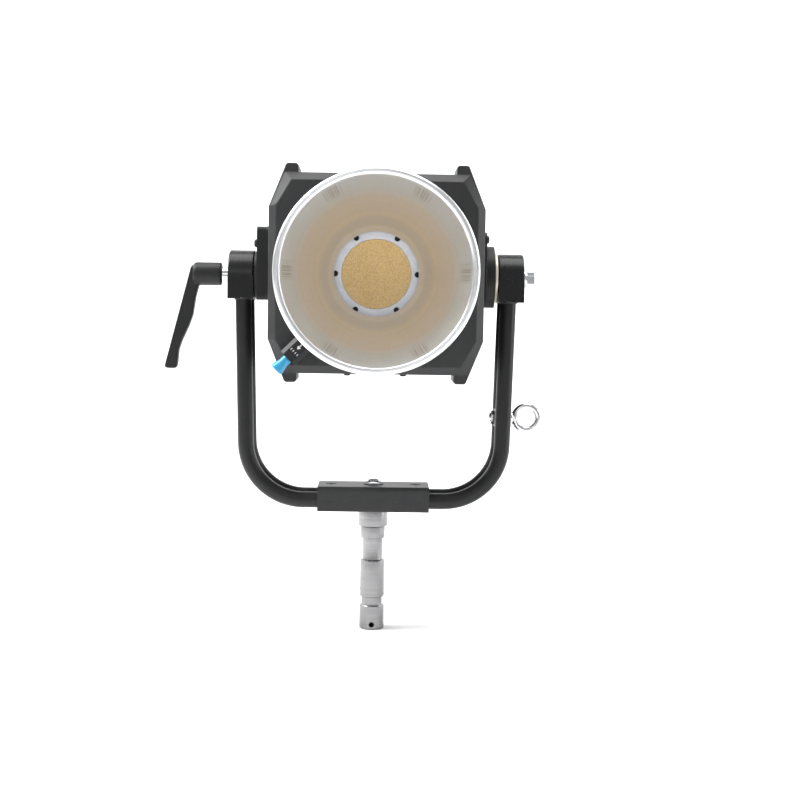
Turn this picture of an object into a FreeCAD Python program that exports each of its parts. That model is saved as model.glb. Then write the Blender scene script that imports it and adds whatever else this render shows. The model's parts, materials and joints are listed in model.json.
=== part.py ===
"""Open-face studio spotlight head in a twin-tube yoke, as a parametric FreeCAD document.

Frame: +Z up, the light shines to -Y, +X to the right of someone who looks into the lamp.
The origin is the centre of the receiver's mouth, at the lower end of the spigot. Millimetres.
"""
import FreeCAD
import Part
import Sketcher
import math
import os

DIMENSIONS = {
    # spigot, from its mouth upwards
    "receiver_bore": 8.05, "receiver_depth": 55, "lock_hole": 3, "lock_hole_height": 6,
    "pin_radius": 14, "groove_radius": 11.75, "neck_radius": 11.5, "shoulder_radius": 17,
    "lower_land_top": 27.5, "groove_top": 36.5, "pin_top": 79.5, "neck_top": 104,
    "collar_top": 118, "stud_radius": 6, "stud_top": 171.5, "spigot_bevel": 0.8,
    # clamp block round the yoke's tubes
    "block_bottom": 137, "block_top": 165, "block_half_length": 62.5, "block_half_depth": 30,
    "block_edge": 5, "block_lower_edge": 2.5, "recess_radius": 11.5, "recess_floor": 159,
    "washer_radius": 11, "washer_thick": 1.2, "nut_flat": 8.8, "nut_top": 169.5,
    "clamp_screw_place": 48, "clamp_screw_radius": 3, "clamp_screw_head": 6,
    "clamp_screw_bottom": 140.5, "clamp_screw_cone": 3.5, "clamp_screw_sunk": 0.5,
    # yoke
    "tube_radius": 9, "tube_wall": 2, "tube_spread": 19, "tube_height": 149, "bend_radius": 65,
    "arm_reach_low": 143.5, "arm_reach_high": 148, "tilt_height": 399, "hub_radius": 28.5,
    "hub_inner_end": 136, "hub_outer_end": 164.5, "hub_bore": 11, "hub_bevel": 1.2,
    "hub_foot": 25.8, "hub_face_rim": 4, "bush_bore": 8, "shaft_radius": 7.95,
    # safety eye on the right arm
    "eye_height": 243, "eye_boss_in": 136, "eye_boss_out": 154, "eye_boss_half_depth": 11.5,
    "eye_boss_half_height": 10, "eye_centre": 172.5, "eye_ring": 13.35, "eye_wire": 3.7,
    "eye_shank": 4, "eye_collar": 6.6, "eye_nut_end": 129, "eye_nut_hex": 7.5, "eye_nut_dome": 6.2,
    # head
    "optical_height": 401, "frame_front": 100, "frame_back": 40, "frame_half_width": 115,
    "frame_half_height": 106.4, "frame_side": 70, "bevel": 8.5, "corner_in": 16.5,
    "ear_top": 116, "ear_outer": 96.6, "ear_inner": 83.7, "ear_round": 3.5,
    "cavity_half_width": 108, "cavity_half_height": 99, "cavity_side": 66, "cavity_corner": 91,
    "front_wall": 12, "lamp_hole": 62, "shell_back": 115, "rear_back": 175, "grille_frame": 6,
    "shell_half_width": 110, "shell_half_height": 101, "shell_side": 66, "shell_corner": 93,
    "shell_wall": 3.5, "grille_half": 78,
    # side plates and what sits between them and the hubs
    "base_out": 121.5, "left_boss_out": 132.4, "right_boss_out": 131.5, "boss_half_depth": 30,
    "left_boss_top": 54, "left_boss_bottom": -27, "right_boss_radius": 37,
    "right_base_top": 51, "right_boss_bottom": -32, "plate_margin": 8, "plate_screw_radius": 2.5,
    "plate_screw_head": 4.4, "plate_screw_place": 22, "left_screw_height": 35.5,
    "right_screw_height": 43.5, "bolt_hex": 8.8, "bolt_flange": 9, "bolt_washer": 10,
    "bolt_shank": 4, "washer_large": 26, "brass_start": 132.3, "brass_end": 135.1,
    "stack_end": 135.7, "shaft_flange": 14, "flange_thick": 4, "lever_stud_radius": 5,
    "lever_stud_bore": 5.06, "lever_stud_start": 114.5,
    # tilt lever
    "lever_collar_end": 173.2, "lever_collar": 9, "lever_boss": 6.5, "lever_boss_end": 187,
    "lever_hub": 13, "lever_hub_end": 205, "lever_depth": 14, "lever_drop": 106.5,
    "lever_tip_in": 223.7, "lever_tip_out": 237.2, "lever_screw_radius": 2.5, "spring_radius": 4.9,
    # lamp
    "ring_outer": 80, "ring_lip": 66, "ring_groove": 70.4, "ring_front": 118, "gap_half": 8.5,
    "gap_twist": 22, "adapter_outer": 65.5, "adapter_inner": 58, "adapter_bore": 53,
    "lug_radius": 69.8, "lug_edge": 68.9, "lug_half": 7, "lug_thick": 6,
    "channel_floor": 62.5, "channel_margin": 14, "twist_travel": 22,
    "neck_bore": 44.5, "bowl_back": 107, "bowl_mouth": 92.8, "bowl_front": 227, "bowl_wall": 1.8,
    "rim_centre": 96.7, "rim_wire": 3.9, "retainer_outer": 50, "retainer_bore": 36.9,
    "retainer_hole": 3.2, "retainer_hole_ring": 43.4, "emitter_radius": 36.6,
    "rivet_ring": 55.5, "rivet_radius": 1.3,
    # latch
    "latch_angle": 224.4, "latch_half_width": 10.5, "latch_in": 80, "latch_out": 128,
    "latch_front": 121, "latch_axis": 111, "latch_bevel": 4, "latch_bore": 5.9,
    "latch_pin_radius": 3, "latch_pin_tip": 64.2, "latch_pin_end": 140, "latch_collar": 94,
    "knob_in": 128.4, "knob_out": 146, "knob_neck": 5.2, "knob_flare": 7.4,
    # cooling and rear
    "pipe_radius": 4, "fin_half_width": 92, "fin_half_height": 72, "fan_half": 47, "fan_place": 49,
    "fan_bore": 44.5, "fan_front": 72, "fan_back": 97, "rotor_radius": 43, "rotor_hub": 19,
    "strut_half": 2, "strut_thick": 3, "grille_thick": 3, "grille_screw_place": 70,
    "handle_reach": 215, "handle_radius": 9, "handle_place": 68, "handle_height": 22,
    "post_radius": 7, "inlet_drop": 56,
}

doc = FreeCAD.newDocument("Spotlight")
sheet = doc.addObject("Spreadsheet::Sheet", "Sizes")
for row, (alias, number) in enumerate(DIMENSIONS.items(), start=1):
    sheet.set("A%d" % row, alias)
    sheet.set("B%d" % row, str(number))
    sheet.setAlias("B%d" % row, alias)
doc.recompute()

NODES = {}
X_AXIS = FreeCAD.Vector(1, 0, 0)
Y_AXIS = FreeCAD.Vector(0, 1, 0)
Z_AXIS = FreeCAD.Vector(0, 0, 1)
TURNS = {
    "X": FreeCAD.Rotation(Y_AXIS, 90),
    "Y": FreeCAD.Rotation(X_AXIS, -90),
    "Z": FreeCAD.Rotation(),
}


class Size:
    """A dimension that carries its number and its formula on the sheet."""

    def __init__(self, value, formula):
        self.value = value
        self.formula = formula

    def join(self, other, sign, value):
        return Size(value, "(%s %s %s)" % (self.formula, sign, other.formula))

    def __add__(self, other):
        other = size(other)
        return self.join(other, "+", self.value + other.value)

    def __sub__(self, other):
        other = size(other)
        return self.join(other, "-", self.value - other.value)

    def __mul__(self, other):
        other = size(other)
        return self.join(other, "*", self.value * other.value)

    def __truediv__(self, other):
        other = size(other)
        return self.join(other, "/", self.value / other.value)

    def __radd__(self, other):
        return size(other) + self

    def __rsub__(self, other):
        return size(other) - self

    def __rmul__(self, other):
        return size(other) * self

    def __neg__(self):
        return Size(-self.value, "(0 - %s)" % self.formula)


def size(number):
    """Turn a plain number, or leave a Size, into a Size."""
    if isinstance(number, Size):
        return number
    return Size(float(number), "(%r)" % float(number))


class Sheet:
    """Reads a named dimension as a Size."""

    def __getattr__(self, alias):
        return Size(float(DIMENSIONS[alias]), "Sizes.%s" % alias)


D = Sheet()


def bind(thing, prop, amount):
    """Bind one property to the sheet."""
    thing.setExpression(prop, size(amount).formula)


def place(thing, at=(0, 0, 0), turn=None):
    """Give a piece its place; the three distances stay bound to the sheet."""
    thing.Placement = FreeCAD.Placement(FreeCAD.Vector(*[size(v).value for v in at]),
                                        turn or FreeCAD.Rotation())
    for letter, amount in zip("xyz", at):
        bind(thing, "Placement.Base.%s" % letter, amount)
    return thing


def place_free(thing, at, turn):
    """Give a piece a worked-out place that has no formula on the sheet."""
    for letter in "xyz":
        thing.setExpression("Placement.Base.%s" % letter, None)
    thing.Placement = FreeCAD.Placement(at, turn)
    return thing


def node(label, thing):
    """Register a finished piece under the name a person would use."""
    thing.Label = label
    NODES[label] = thing
    return thing


def box(name, low, high):
    """A block between two opposite corners."""
    block = doc.addObject("Part::Box", name)
    for prop, start, end in zip(("Length", "Width", "Height"), low, high):
        bind(block, prop, size(end) - start)
    return place(block, low)


def rod(name, axis, radius, start, end, at=(0, 0)):
    """A cylinder along an axis; at gives its place on the two other axes, in their order."""
    cylinder = doc.addObject("Part::Cylinder", name)
    bind(cylinder, "Radius", radius)
    bind(cylinder, "Height", size(end) - start)
    spot = list(at)
    spot.insert("XYZ".index(axis), start)
    return place(cylinder, spot, TURNS[axis])


def prism(name, axis, circumradius, start, end, at=(0, 0)):
    """A hexagonal bar along an axis."""
    bar = doc.addObject("Part::Prism", name)
    bar.Polygon = 6
    bind(bar, "Circumradius", circumradius)
    bind(bar, "Height", size(end) - start)
    spot = list(at)
    spot.insert("XYZ".index(axis), start)
    return place(bar, spot, TURNS[axis])


def ring(name, axis, large, small, at):
    """A torus round an axis."""
    torus = doc.addObject("Part::Torus", name)
    bind(torus, "Radius1", large)
    bind(torus, "Radius2", small)
    return place(torus, at, TURNS[axis])


def group(name, pieces):
    """Several separate solids kept as one."""
    compound = doc.addObject("Part::Compound", name)
    compound.Links = pieces
    return compound


def fuse(name, pieces):
    """Pieces that are one solid."""
    union = doc.addObject("Part::MultiFuse", name)
    union.Shapes = pieces
    union.Refine = True
    return union


def cut(name, base, *tools):
    """A piece with other shapes taken away."""
    result = doc.addObject("Part::Cut", name)
    result.Base = base
    result.Tool = tools[0] if len(tools) == 1 else group(name + "_tools", list(tools))
    return result


def plane_of(body, role):
    """One of a body's own origin planes."""
    return next(part for part in body.Origin.OriginFeatures if part.Role == role)


def new_sketch(body, role, offset=0):
    """A sketch on a plane of the body's origin, moved along the plane's normal."""
    sketch = body.newObject("Sketcher::SketchObject", body.Name + "_sketch")
    sketch.AttachmentSupport = (plane_of(body, role), [""])
    sketch.MapMode = "FlatFace"
    if size(offset).value:
        bind(sketch, "AttachmentOffset.Base.z", offset)
    return sketch


def hold_point(sketch, edge, point, spot):
    """Hold one end or centre at its two distances from the origin."""
    for kind, axis, amount in zip(("DistanceX", "DistanceY"), (-2, -1), spot):
        amount = size(amount)
        if abs(amount.value) < 1e-9:
            sketch.addConstraint(Sketcher.Constraint("PointOnObject", edge, point, axis))
            continue
        held = Sketcher.Constraint(kind, -1, 1, edge, point, amount.value)
        index = sketch.addConstraint(held)
        bind(sketch, "Constraints[%d]" % index, amount)


def add_outline(sketch, points):
    """A closed outline of straight sides."""
    corners = [FreeCAD.Vector(size(x).value, size(y).value, 0) for x, y in points]
    first = sketch.GeometryCount
    count = len(corners)
    sides = [Part.LineSegment(corners[i], corners[(i + 1) % count]) for i in range(count)]
    sketch.addGeometry(sides, False)
    sketch.addConstraint([Sketcher.Constraint("Coincident", first + i, 2, first + (i + 1) % count, 1)
                          for i in range(count)])
    for index, spot in enumerate(points):
        hold_point(sketch, first + index, 1, spot)


def add_circle(sketch, x, y, radius):
    """A circle held by its centre and radius."""
    centre = FreeCAD.Vector(size(x).value, size(y).value, 0)
    edge = sketch.addGeometry(Part.Circle(centre, Z_AXIS, size(radius).value), False)
    hold_point(sketch, edge, 3, (x, y))
    held = sketch.addConstraint(Sketcher.Constraint("Radius", edge, size(radius).value))
    bind(sketch, "Constraints[%d]" % held, radius)


def new_body(name):
    """A body of its own for one piece."""
    return doc.addObject("PartDesign::Body", name)


def pad(body, sketch, length, backwards=False):
    """Raise a sketch into a solid."""
    feature = body.newObject("PartDesign::Pad", body.Name + "_pad")
    feature.Profile = sketch
    feature.Reversed = backwards
    bind(feature, "Length", length)
    doc.recompute()
    return feature


def pocket(body, sketch, length, backwards=False):
    """Cut a sketch into the body and make sure that it removed material."""
    before = body.Shape.Volume
    feature = body.newObject("PartDesign::Pocket", body.Name + "_pocket")
    feature.Profile = sketch
    feature.Reversed = backwards
    bind(feature, "Length", length)
    doc.recompute()
    if body.Shape.Volume >= before - 1e-6:
        raise ValueError("%s cuts nothing" % feature.Name)
    return feature


def edges_of(shape, test):
    """Names of the edges whose middle point and ends pass a test."""
    names = []
    for index, edge in enumerate(shape.Edges, start=1):
        middle = edge.valueAt((edge.FirstParameter + edge.LastParameter) / 2)
        if test(edge, middle):
            names.append("Edge%d" % index)
    return names


def soften(body, kind, amount, test):
    """Round (Fillet) or bevel (Chamfer) the edges that pass a test."""
    base = body.Tip
    feature = body.newObject("PartDesign::" + kind, body.Name + "_" + kind.lower())
    feature.Base = (base, edges_of(base.Shape, test))
    bind(feature, "Radius" if kind == "Fillet" else "Size", amount)
    doc.recompute()
    return feature


def turned(name, axis, profile, at=(0, 0, 0), sweep=360):
    """A turned piece: the profile lists (radius, distance along the axis)."""
    body = new_body(name)
    sketch = new_sketch(body, "XZ_Plane")
    add_outline(sketch, profile)
    feature = body.newObject("PartDesign::Revolution", name + "_turn")
    feature.Profile = sketch
    feature.ReferenceAxis = (sketch, ["V_Axis"])
    feature.Angle = sweep
    place(body, at, TURNS[axis] if isinstance(axis, str) else axis)
    doc.recompute()
    return body


def sleeve(inner, outer, start, end, bevel=0.0):
    """Profile of a plain sleeve with bevelled outer edges."""
    if not size(bevel).value:
        return [(inner, start), (outer, start), (outer, end), (inner, end)]
    return [(inner, start), (size(outer) - bevel, start), (outer, size(start) + bevel),
            (outer, size(end) - bevel), (size(outer) - bevel, end), (inner, end)]


def along(edge, direction):
    """True when a straight edge runs along a direction."""
    if edge.Curve.TypeId != "Part::GeomLine":
        return False
    return abs(edge.Curve.Direction.dot(direction)) > 0.999


def tilt_at():
    """The place of a part turned about the tilt axis."""
    return (0, 0, D.tilt_height)


def side_turn(side):
    """Turn that lays a turned profile outwards along +X or -X."""
    return FreeCAD.Rotation(Y_AXIS, 90 * side)


def outward(side, start, end):
    """Two distances from the middle, as a low and a high X on one side."""
    if side > 0:
        return size(start), size(end)
    return -size(end), -size(start)


OPTICAL = (0, 0, D.optical_height)
FORWARD = FreeCAD.Rotation(X_AXIS, 90)


# ---------------------------------------------------------------- spigot and clamp block

def make_spigot():
    """Combination spigot: 28 mm pin outside, 16 mm receiver inside, stud on top."""
    c = D.spigot_bevel
    lands = [(D.pin_radius, 0, D.lower_land_top, c),
             (D.groove_radius, D.lower_land_top, D.groove_top, 0),
             (D.pin_radius, D.groove_top, D.pin_top, c),
             (D.neck_radius, D.pin_top, D.neck_top, 0),
             (D.pin_radius, D.neck_top, D.collar_top, c),
             (D.shoulder_radius, D.collar_top, D.block_bottom, c),
             (D.stud_radius, D.block_bottom, D.stud_top, 0)]
    profile = [(D.receiver_bore, 0)]
    for radius, low, high, bevel in lands:
        if size(bevel).value:
            profile += [(radius - bevel, low), (radius, size(low) + bevel),
                        (radius, high - bevel), (radius - bevel, high)]
        else:
            profile += [(radius, low), (radius, high)]
    profile += [(0, D.stud_top), (0, D.receiver_depth + 2.5), (D.receiver_bore, D.receiver_depth)]
    body = turned("spigot_body", "Z", profile)
    hole = new_sketch(body, "XZ_Plane")
    add_circle(hole, 0, D.lock_hole_height, D.lock_hole)
    pocket(body, hole, D.pin_radius + 1, True)
    node("spigot", body)


def clamp_half(name, low, high, edge_height, edge_radius):
    """One half of the clamp block, and the tools that cut its tube grooves and bores."""
    blank = box(name + "_blank", (-D.block_half_length, -D.block_half_depth, low),
                (D.block_half_length, D.block_half_depth, high))
    doc.recompute()
    long_edges = edges_of(blank.Shape, lambda edge, middle: along(edge, X_AXIS)
                          and abs(middle.z - edge_height.value) < 0.01)
    eased = doc.addObject("Part::Fillet", name + "_eased")
    eased.Base = blank
    eased.Edges = [(int(edge[4:]), edge_radius.value, edge_radius.value) for edge in long_edges]
    tools = [rod(name + "_groove", "X", D.tube_radius, -D.block_half_length - 1,
                 D.block_half_length + 1, (side * D.tube_spread, D.tube_height))
             for side in (-1, 1)]
    tools.append(rod(name + "_stud_hole", "Z", D.stud_radius, low - 1, high + 1))
    tools += [rod(name + "_screw_hole", "Z", D.clamp_screw_radius, low - 1, high + 1,
                  (side * D.clamp_screw_place, 0)) for side in (-1, 1)]
    return eased, tools


def make_block():
    """Clamp block, its screws, and the nut that holds the spigot."""
    lower, tools = clamp_half("clamp_lower", D.block_bottom, D.tube_height, D.block_bottom,
                              D.block_lower_edge)
    node("clamp_block_lower", cut("clamp_lower_cut", lower, *tools))
    upper, tools = clamp_half("clamp_upper", D.tube_height, D.block_top, D.block_top,
                              D.block_edge)
    tools.append(rod("nut_recess", "Z", D.recess_radius, D.recess_floor, D.block_top + 1))
    cone = D.block_top - D.clamp_screw_cone
    flush = D.block_top - D.clamp_screw_sunk
    screws = []
    for side in (-1, 1):
        at = (side * D.clamp_screw_place, 0, 0)
        tools.append(turned("screw_sink", "Z", [
            (0, cone - 0.5), (D.clamp_screw_radius, cone), (D.clamp_screw_head, flush),
            (D.clamp_screw_head, D.block_top + 1), (0, D.block_top + 1)], at))
        screw = turned("clamp_screw", "Z", [
            (0, D.clamp_screw_bottom), (D.clamp_screw_radius, D.clamp_screw_bottom),
            (D.clamp_screw_radius, cone), (D.clamp_screw_head, flush), (0, flush)], at)
        key = prism("clamp_screw_key", "Z", 2.3, D.block_top - 3, D.block_top, at[:2])
        screws.append(cut("clamp_screw_cut", screw, key))
    node("clamp_block_upper", cut("clamp_upper_cut", upper, *tools))
    node("clamp_screws", group("clamp_screw_group", screws))


def make_spigot_nut():
    """Washer and bevelled hexagon nut on the spigot's stud."""
    washer_top = D.recess_floor + D.washer_thick
    node("spigot_washer", turned("spigot_washer_body", "Z", sleeve(
        D.stud_radius, D.washer_radius, D.recess_floor, washer_top, 0.3)))
    blank = prism("spigot_nut_blank", "Z", D.nut_flat / math.cos(math.radians(30)), washer_top,
                  D.nut_top)
    cone = turned("spigot_nut_cone", "Z", [
        (D.stud_radius, washer_top), (D.nut_flat + 0.7, washer_top),
        (D.nut_flat + 1.5, washer_top + 0.8), (D.nut_flat + 1.5, D.nut_top - 1.6),
        (D.nut_flat - 1, D.nut_top), (D.stud_radius, D.nut_top)])
    nut = doc.addObject("Part::Common", "spigot_nut_common")
    nut.Base = blank
    nut.Tool = cone
    node("spigot_nut", nut)


# ---------------------------------------------------------------- yoke

def arm_path():
    """Corner points of half a yoke tube's centre line, seen along Y from the tube's foot."""
    lean = (D.arm_reach_high - D.arm_reach_low).value
    bend = D.bend_radius.value
    angle = math.atan2(lean, (D.tilt_height - D.tube_height).value - bend)
    turn = math.pi / 2 - angle
    start = D.arm_reach_low.value - bend * (math.tan(angle) + math.tan(turn / 2))
    middle = FreeCAD.Vector(start, bend, 0)
    half_way = middle + FreeCAD.Vector(math.sin(turn / 2), -math.cos(turn / 2), 0) * bend
    bend_end = middle + FreeCAD.Vector(math.sin(turn), -math.cos(turn), 0) * bend
    climb = (D.tilt_height - D.tube_height - D.hub_foot / 2).value - bend_end.y
    top = bend_end + FreeCAD.Vector(climb * math.tan(angle), climb, 0)
    return FreeCAD.Vector(start, 0, 0), half_way, bend_end, top


def make_tube(name, side):
    """One U tube: half of it is swept from the middle outwards, then mirrored."""
    start, half_way, bend_end, top = arm_path()
    body = new_body(name + "_body")
    spine = new_sketch(body, "XZ_Plane")
    spine.addGeometry(Part.LineSegment(FreeCAD.Vector(0, 0, 0), start), False)
    spine.addGeometry(Part.Arc(start, half_way, bend_end), False)
    spine.addGeometry(Part.LineSegment(bend_end, top), False)
    spine.addConstraint(Sketcher.Constraint("Coincident", 0, 1, -1, 1))
    spine.addConstraint(Sketcher.Constraint("Horizontal", 0))
    spine.addConstraint(Sketcher.Constraint("Tangent", 0, 2, 1, 1))
    spine.addConstraint(Sketcher.Constraint("Tangent", 1, 2, 2, 1))
    held = spine.addConstraint(Sketcher.Constraint("Radius", 1, D.bend_radius.value))
    bind(spine, "Constraints[%d]" % held, D.bend_radius)
    hold_point(spine, 2, 2, (top.x, top.y))
    section = new_sketch(body, "YZ_Plane")
    add_circle(section, 0, 0, D.tube_radius)
    add_circle(section, 0, 0, D.tube_radius - D.tube_wall)
    doc.recompute()
    pipe = body.newObject("PartDesign::AdditivePipe", name + "_pipe")
    pipe.Profile = section
    pipe.Spine = (spine, ["Edge1", "Edge2", "Edge3"])
    doc.recompute()
    mirror = body.newObject("PartDesign::Mirrored", name + "_mirror")
    mirror.Originals = [pipe]
    mirror.MirrorPlane = (plane_of(body, "YZ_Plane"), [""])
    body.Tip = mirror
    middle = side * D.tube_spread
    place(body, (0, middle, D.tube_height))
    clearance = D.tube_radius + 1
    tops = box(name + "_top_cutter",
               (-D.hub_outer_end, middle - clearance, D.tilt_height - D.hub_foot),
               (D.hub_outer_end, middle + clearance, D.tilt_height))
    return node(name, cut(name + "_cut", body, tops))


def make_hub(name, side):
    """Hub with a flat foot at the top of an arm; gives back the bronze bush that lines it."""
    turn = side_turn(side)
    c = D.hub_bevel
    face_rim = D.hub_radius - D.hub_face_rim
    profile = [(D.hub_bore, D.hub_inner_end), (D.hub_radius - c, D.hub_inner_end),
               (D.hub_radius, D.hub_inner_end + c), (D.hub_radius, D.hub_outer_end - c),
               (D.hub_radius - c, D.hub_outer_end), (face_rim, D.hub_outer_end),
               (face_rim - 1, D.hub_outer_end - 1.5), (D.hub_bore + 4, D.hub_outer_end - 1.5),
               (D.hub_bore + 3, D.hub_outer_end - 0.3), (D.hub_bore, D.hub_outer_end - 0.3)]
    drum = turned("hub_" + name, turn, profile, tilt_at())
    low, high = outward(side, D.hub_inner_end, D.hub_outer_end)
    blank = box("hub_foot_blank_" + name, (low, -D.hub_radius, D.tilt_height - D.hub_foot),
                (high, D.hub_radius, D.tilt_height))
    drum_space = rod("hub_foot_bore_" + name, "X", face_rim, low - 1, high + 1,
                     (0, D.tilt_height))
    foot = cut("hub_foot_" + name, blank, drum_space)
    solid = fuse("hub_fuse_" + name, [drum, foot])
    below = box("hub_trim_" + name, (low - 1, -D.hub_radius, D.tilt_height - D.hub_radius - 1),
                (high + 1, D.hub_radius, D.tilt_height - D.hub_foot))
    node("yoke_hub_" + name, cut("hub_cut_" + name, solid, below))
    return turned("bush_" + name, turn, sleeve(
        D.bush_bore, D.hub_bore, D.hub_inner_end, D.hub_outer_end - 0.3), tilt_at())


def make_eye_boss():
    """Boss between the right arm's two tubes, hollowed to seat against them."""
    low = D.eye_height - D.eye_boss_half_height
    boss = box("eye_boss_blank", (D.eye_boss_in, -D.eye_boss_half_depth, low),
               (D.eye_boss_out, D.eye_boss_half_depth, D.eye_height + D.eye_boss_half_height))
    bore = rod("eye_boss_bore", "X", D.eye_shank, D.eye_boss_in - 1, D.eye_boss_out + 1,
               (0, D.eye_height))
    bend_end, top = arm_path()[2:]
    slope = (top.x - bend_end.x) / (top.y - bend_end.y)
    foot = low.value - 1
    reach = bend_end.x + slope * (foot - D.tube_height.value - bend_end.y)
    reliefs = []
    for side in (-1, 1):
        relief = rod("eye_boss_relief", "Z", D.tube_radius, 0, D.eye_boss_half_height * 2 + 2)
        reliefs.append(place_free(
            relief, FreeCAD.Vector(reach, side * D.tube_spread.value, foot),
            FreeCAD.Rotation(Y_AXIS, math.degrees(math.atan(slope)))))
    node("eye_boss", cut("eye_boss_cut", boss, bore, *reliefs))


def make_eye():
    """Safety eye with its shank and collar, and the domed nut behind the boss."""
    shank_end = D.eye_nut_end + 1.5
    shank = rod("eye_shank_rod", "X", D.eye_shank, shank_end, D.eye_boss_out + 3,
                (0, D.eye_height))
    collar = turned("eye_collar_turned", "X", [
        (0, D.eye_boss_out), (D.eye_collar, D.eye_boss_out),
        (D.eye_collar, D.eye_boss_out + 2.2), (D.eye_wire + 1, D.eye_boss_out + 4.5),
        (0, D.eye_boss_out + 4.5)], (0, 0, D.eye_height))
    loop = ring("eye_loop", "Y", D.eye_ring, D.eye_wire, (D.eye_centre, 0, D.eye_height))
    node("safety_eye", fuse("safety_eye_fuse", [shank, collar, loop]))
    hexagon = prism("eye_nut_hexagon", "X", D.eye_nut_hex, D.eye_nut_end + 3, D.eye_boss_in,
                    (0, D.eye_height))
    dome = turned("eye_nut_dome_turned", "X", [
        (0, D.eye_nut_end), (D.eye_nut_dome - 3.2, D.eye_nut_end + 0.3),
        (D.eye_nut_dome - 1.2, D.eye_nut_end + 1.4), (D.eye_nut_dome, D.eye_nut_end + 3.2),
        (D.eye_nut_dome, D.eye_nut_end + 4), (0, D.eye_nut_end + 4)], (0, 0, D.eye_height))
    solid = fuse("eye_nut_fuse", [hexagon, dome])
    bore = rod("eye_nut_bore", "X", D.eye_shank, shank_end, D.eye_boss_in + 1,
               (0, D.eye_height))
    node("safety_eye_nut", cut("eye_nut_cut", solid, bore))


# ---------------------------------------------------------------- head casing

def octagon(half_width, half_height, side, corner):
    """Outline with eight corners, symmetric both ways."""
    quarter = [(half_width, side), (corner, half_height)]
    quarters = quarter + [(-x, y) for x, y in reversed(quarter)]
    return quarters + [(-x, -y) for x, y in quarters]


def eared_outline():
    """The frame's outline with a bumper ear at each corner."""
    quarter = [(D.frame_half_width, D.frame_side), (D.ear_outer, D.ear_top),
               (D.ear_inner, D.ear_top), (D.ear_inner, D.frame_half_height)]
    half = quarter + [(-x, y) for x, y in reversed(quarter)]
    return half + [(-x, -y) for x, y in half]


def make_frame(name, opening, facing):
    """A cast end frame: eared wall, bevelled face, open cavity; built facing local -Y."""
    body = new_body(name + "_body")
    corner = D.frame_half_width - D.corner_in
    depth = D.frame_front - D.frame_back
    outline = new_sketch(body, "XZ_Plane")
    add_outline(outline, eared_outline())
    pad(body, outline, depth - D.bevel)
    soften(body, "Fillet", D.ear_round, lambda edge, middle: along(edge, Y_AXIS)
           and abs(middle.z) > D.ear_top.value - 0.1)
    low = new_sketch(body, "XZ_Plane", depth - D.bevel)
    add_outline(low, octagon(D.frame_half_width, D.frame_half_height, D.frame_side, corner))
    high = new_sketch(body, "XZ_Plane", depth)
    add_outline(high, octagon(D.frame_half_width - D.bevel, D.frame_half_height - D.bevel,
                              D.frame_side, corner - D.bevel + 0.5))
    doc.recompute()
    loft = body.newObject("PartDesign::AdditiveLoft", name + "_bevel")
    loft.Profile = low
    loft.Sections = [high]
    loft.Ruled = True
    doc.recompute()
    cavity = new_sketch(body, "XZ_Plane")
    add_outline(cavity, octagon(D.cavity_half_width, D.cavity_half_height, D.cavity_side,
                                D.cavity_corner))
    pocket(body, cavity, depth - opening["wall"], True)
    window = new_sketch(body, "XZ_Plane")
    opening["draw"](window)
    pocket(body, window, depth, True)
    if facing < 0:
        place(body, (0, -D.frame_back, D.optical_height))
    else:
        place(body, (0, D.shell_back, D.optical_height), FreeCAD.Rotation(Z_AXIS, 180))
    return body


def make_frames():
    """Front frame with the lamp hole, rear frame with the grille's window."""
    front = {"wall": D.front_wall, "draw": lambda sketch: add_circle(sketch, 0, 0, D.lamp_hole)}
    node("front_frame", make_frame("front_frame", front, -1))
    half = D.grille_half - D.grille_frame
    window = [(-half, -half), (half, -half), (half, half), (-half, half)]
    rear = {"wall": D.front_wall, "draw": lambda sketch: add_outline(sketch, window)}
    node("rear_frame", make_frame("rear_frame", rear, 1))


def make_shell():
    """Middle shell: an extruded tube with louvre slots in both sides and in the top."""
    body = new_body("middle_shell_body")
    outline = new_sketch(body, "XZ_Plane")
    add_outline(outline, octagon(D.shell_half_width, D.shell_half_height, D.shell_side,
                                 D.shell_corner))
    wall = D.shell_wall
    add_outline(outline, octagon(D.shell_half_width - wall, D.shell_half_height - wall,
                                 D.shell_side - wall / 2, D.shell_corner - wall / 2))
    pad(body, outline, D.frame_back + D.shell_back)
    place(body, (0, D.shell_back, D.optical_height))
    slots = []
    for index in range(8):
        start = 38 + 9 * index
        slots.append(box("side_slot", (-D.shell_half_width - 1, start, D.optical_height - 50),
                         (D.shell_half_width + 1, size(start) + 4.5, D.optical_height + 50)))
    for index in range(12):
        start = -22 + 11 * index
        slots.append(box("top_slot", (-60, start, D.optical_height + 90),
                         (60, size(start) + 5, D.optical_height + 110)))
    node("middle_shell", cut("middle_shell_cut", body, *slots))


def rounded_pad(body, start, end, outline, corner):
    """Raise a four-cornered outline off the casing's side, with rounded corners."""
    half, low, high = outline
    sketch = new_sketch(body, "YZ_Plane", start)
    add_outline(sketch, [(-half, low), (half, low), (half, high), (-half, high)])
    pad(body, sketch, end - start)
    soften(body, "Fillet", corner, lambda edge, middle: along(edge, X_AXIS))


def round_boss(body, start, end, radius, low):
    """Raise a round boss whose foot is cut straight."""
    sketch = new_sketch(body, "YZ_Plane", start)
    add_circle(sketch, 0, 0, radius)
    pad(body, sketch, end - start)
    trim = new_sketch(body, "YZ_Plane", start)
    reach = radius + 2
    add_outline(trim, [(-reach, -reach), (reach, -reach), (reach, low), (-reach, low)])
    pocket(body, trim, end - start, True)


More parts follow.
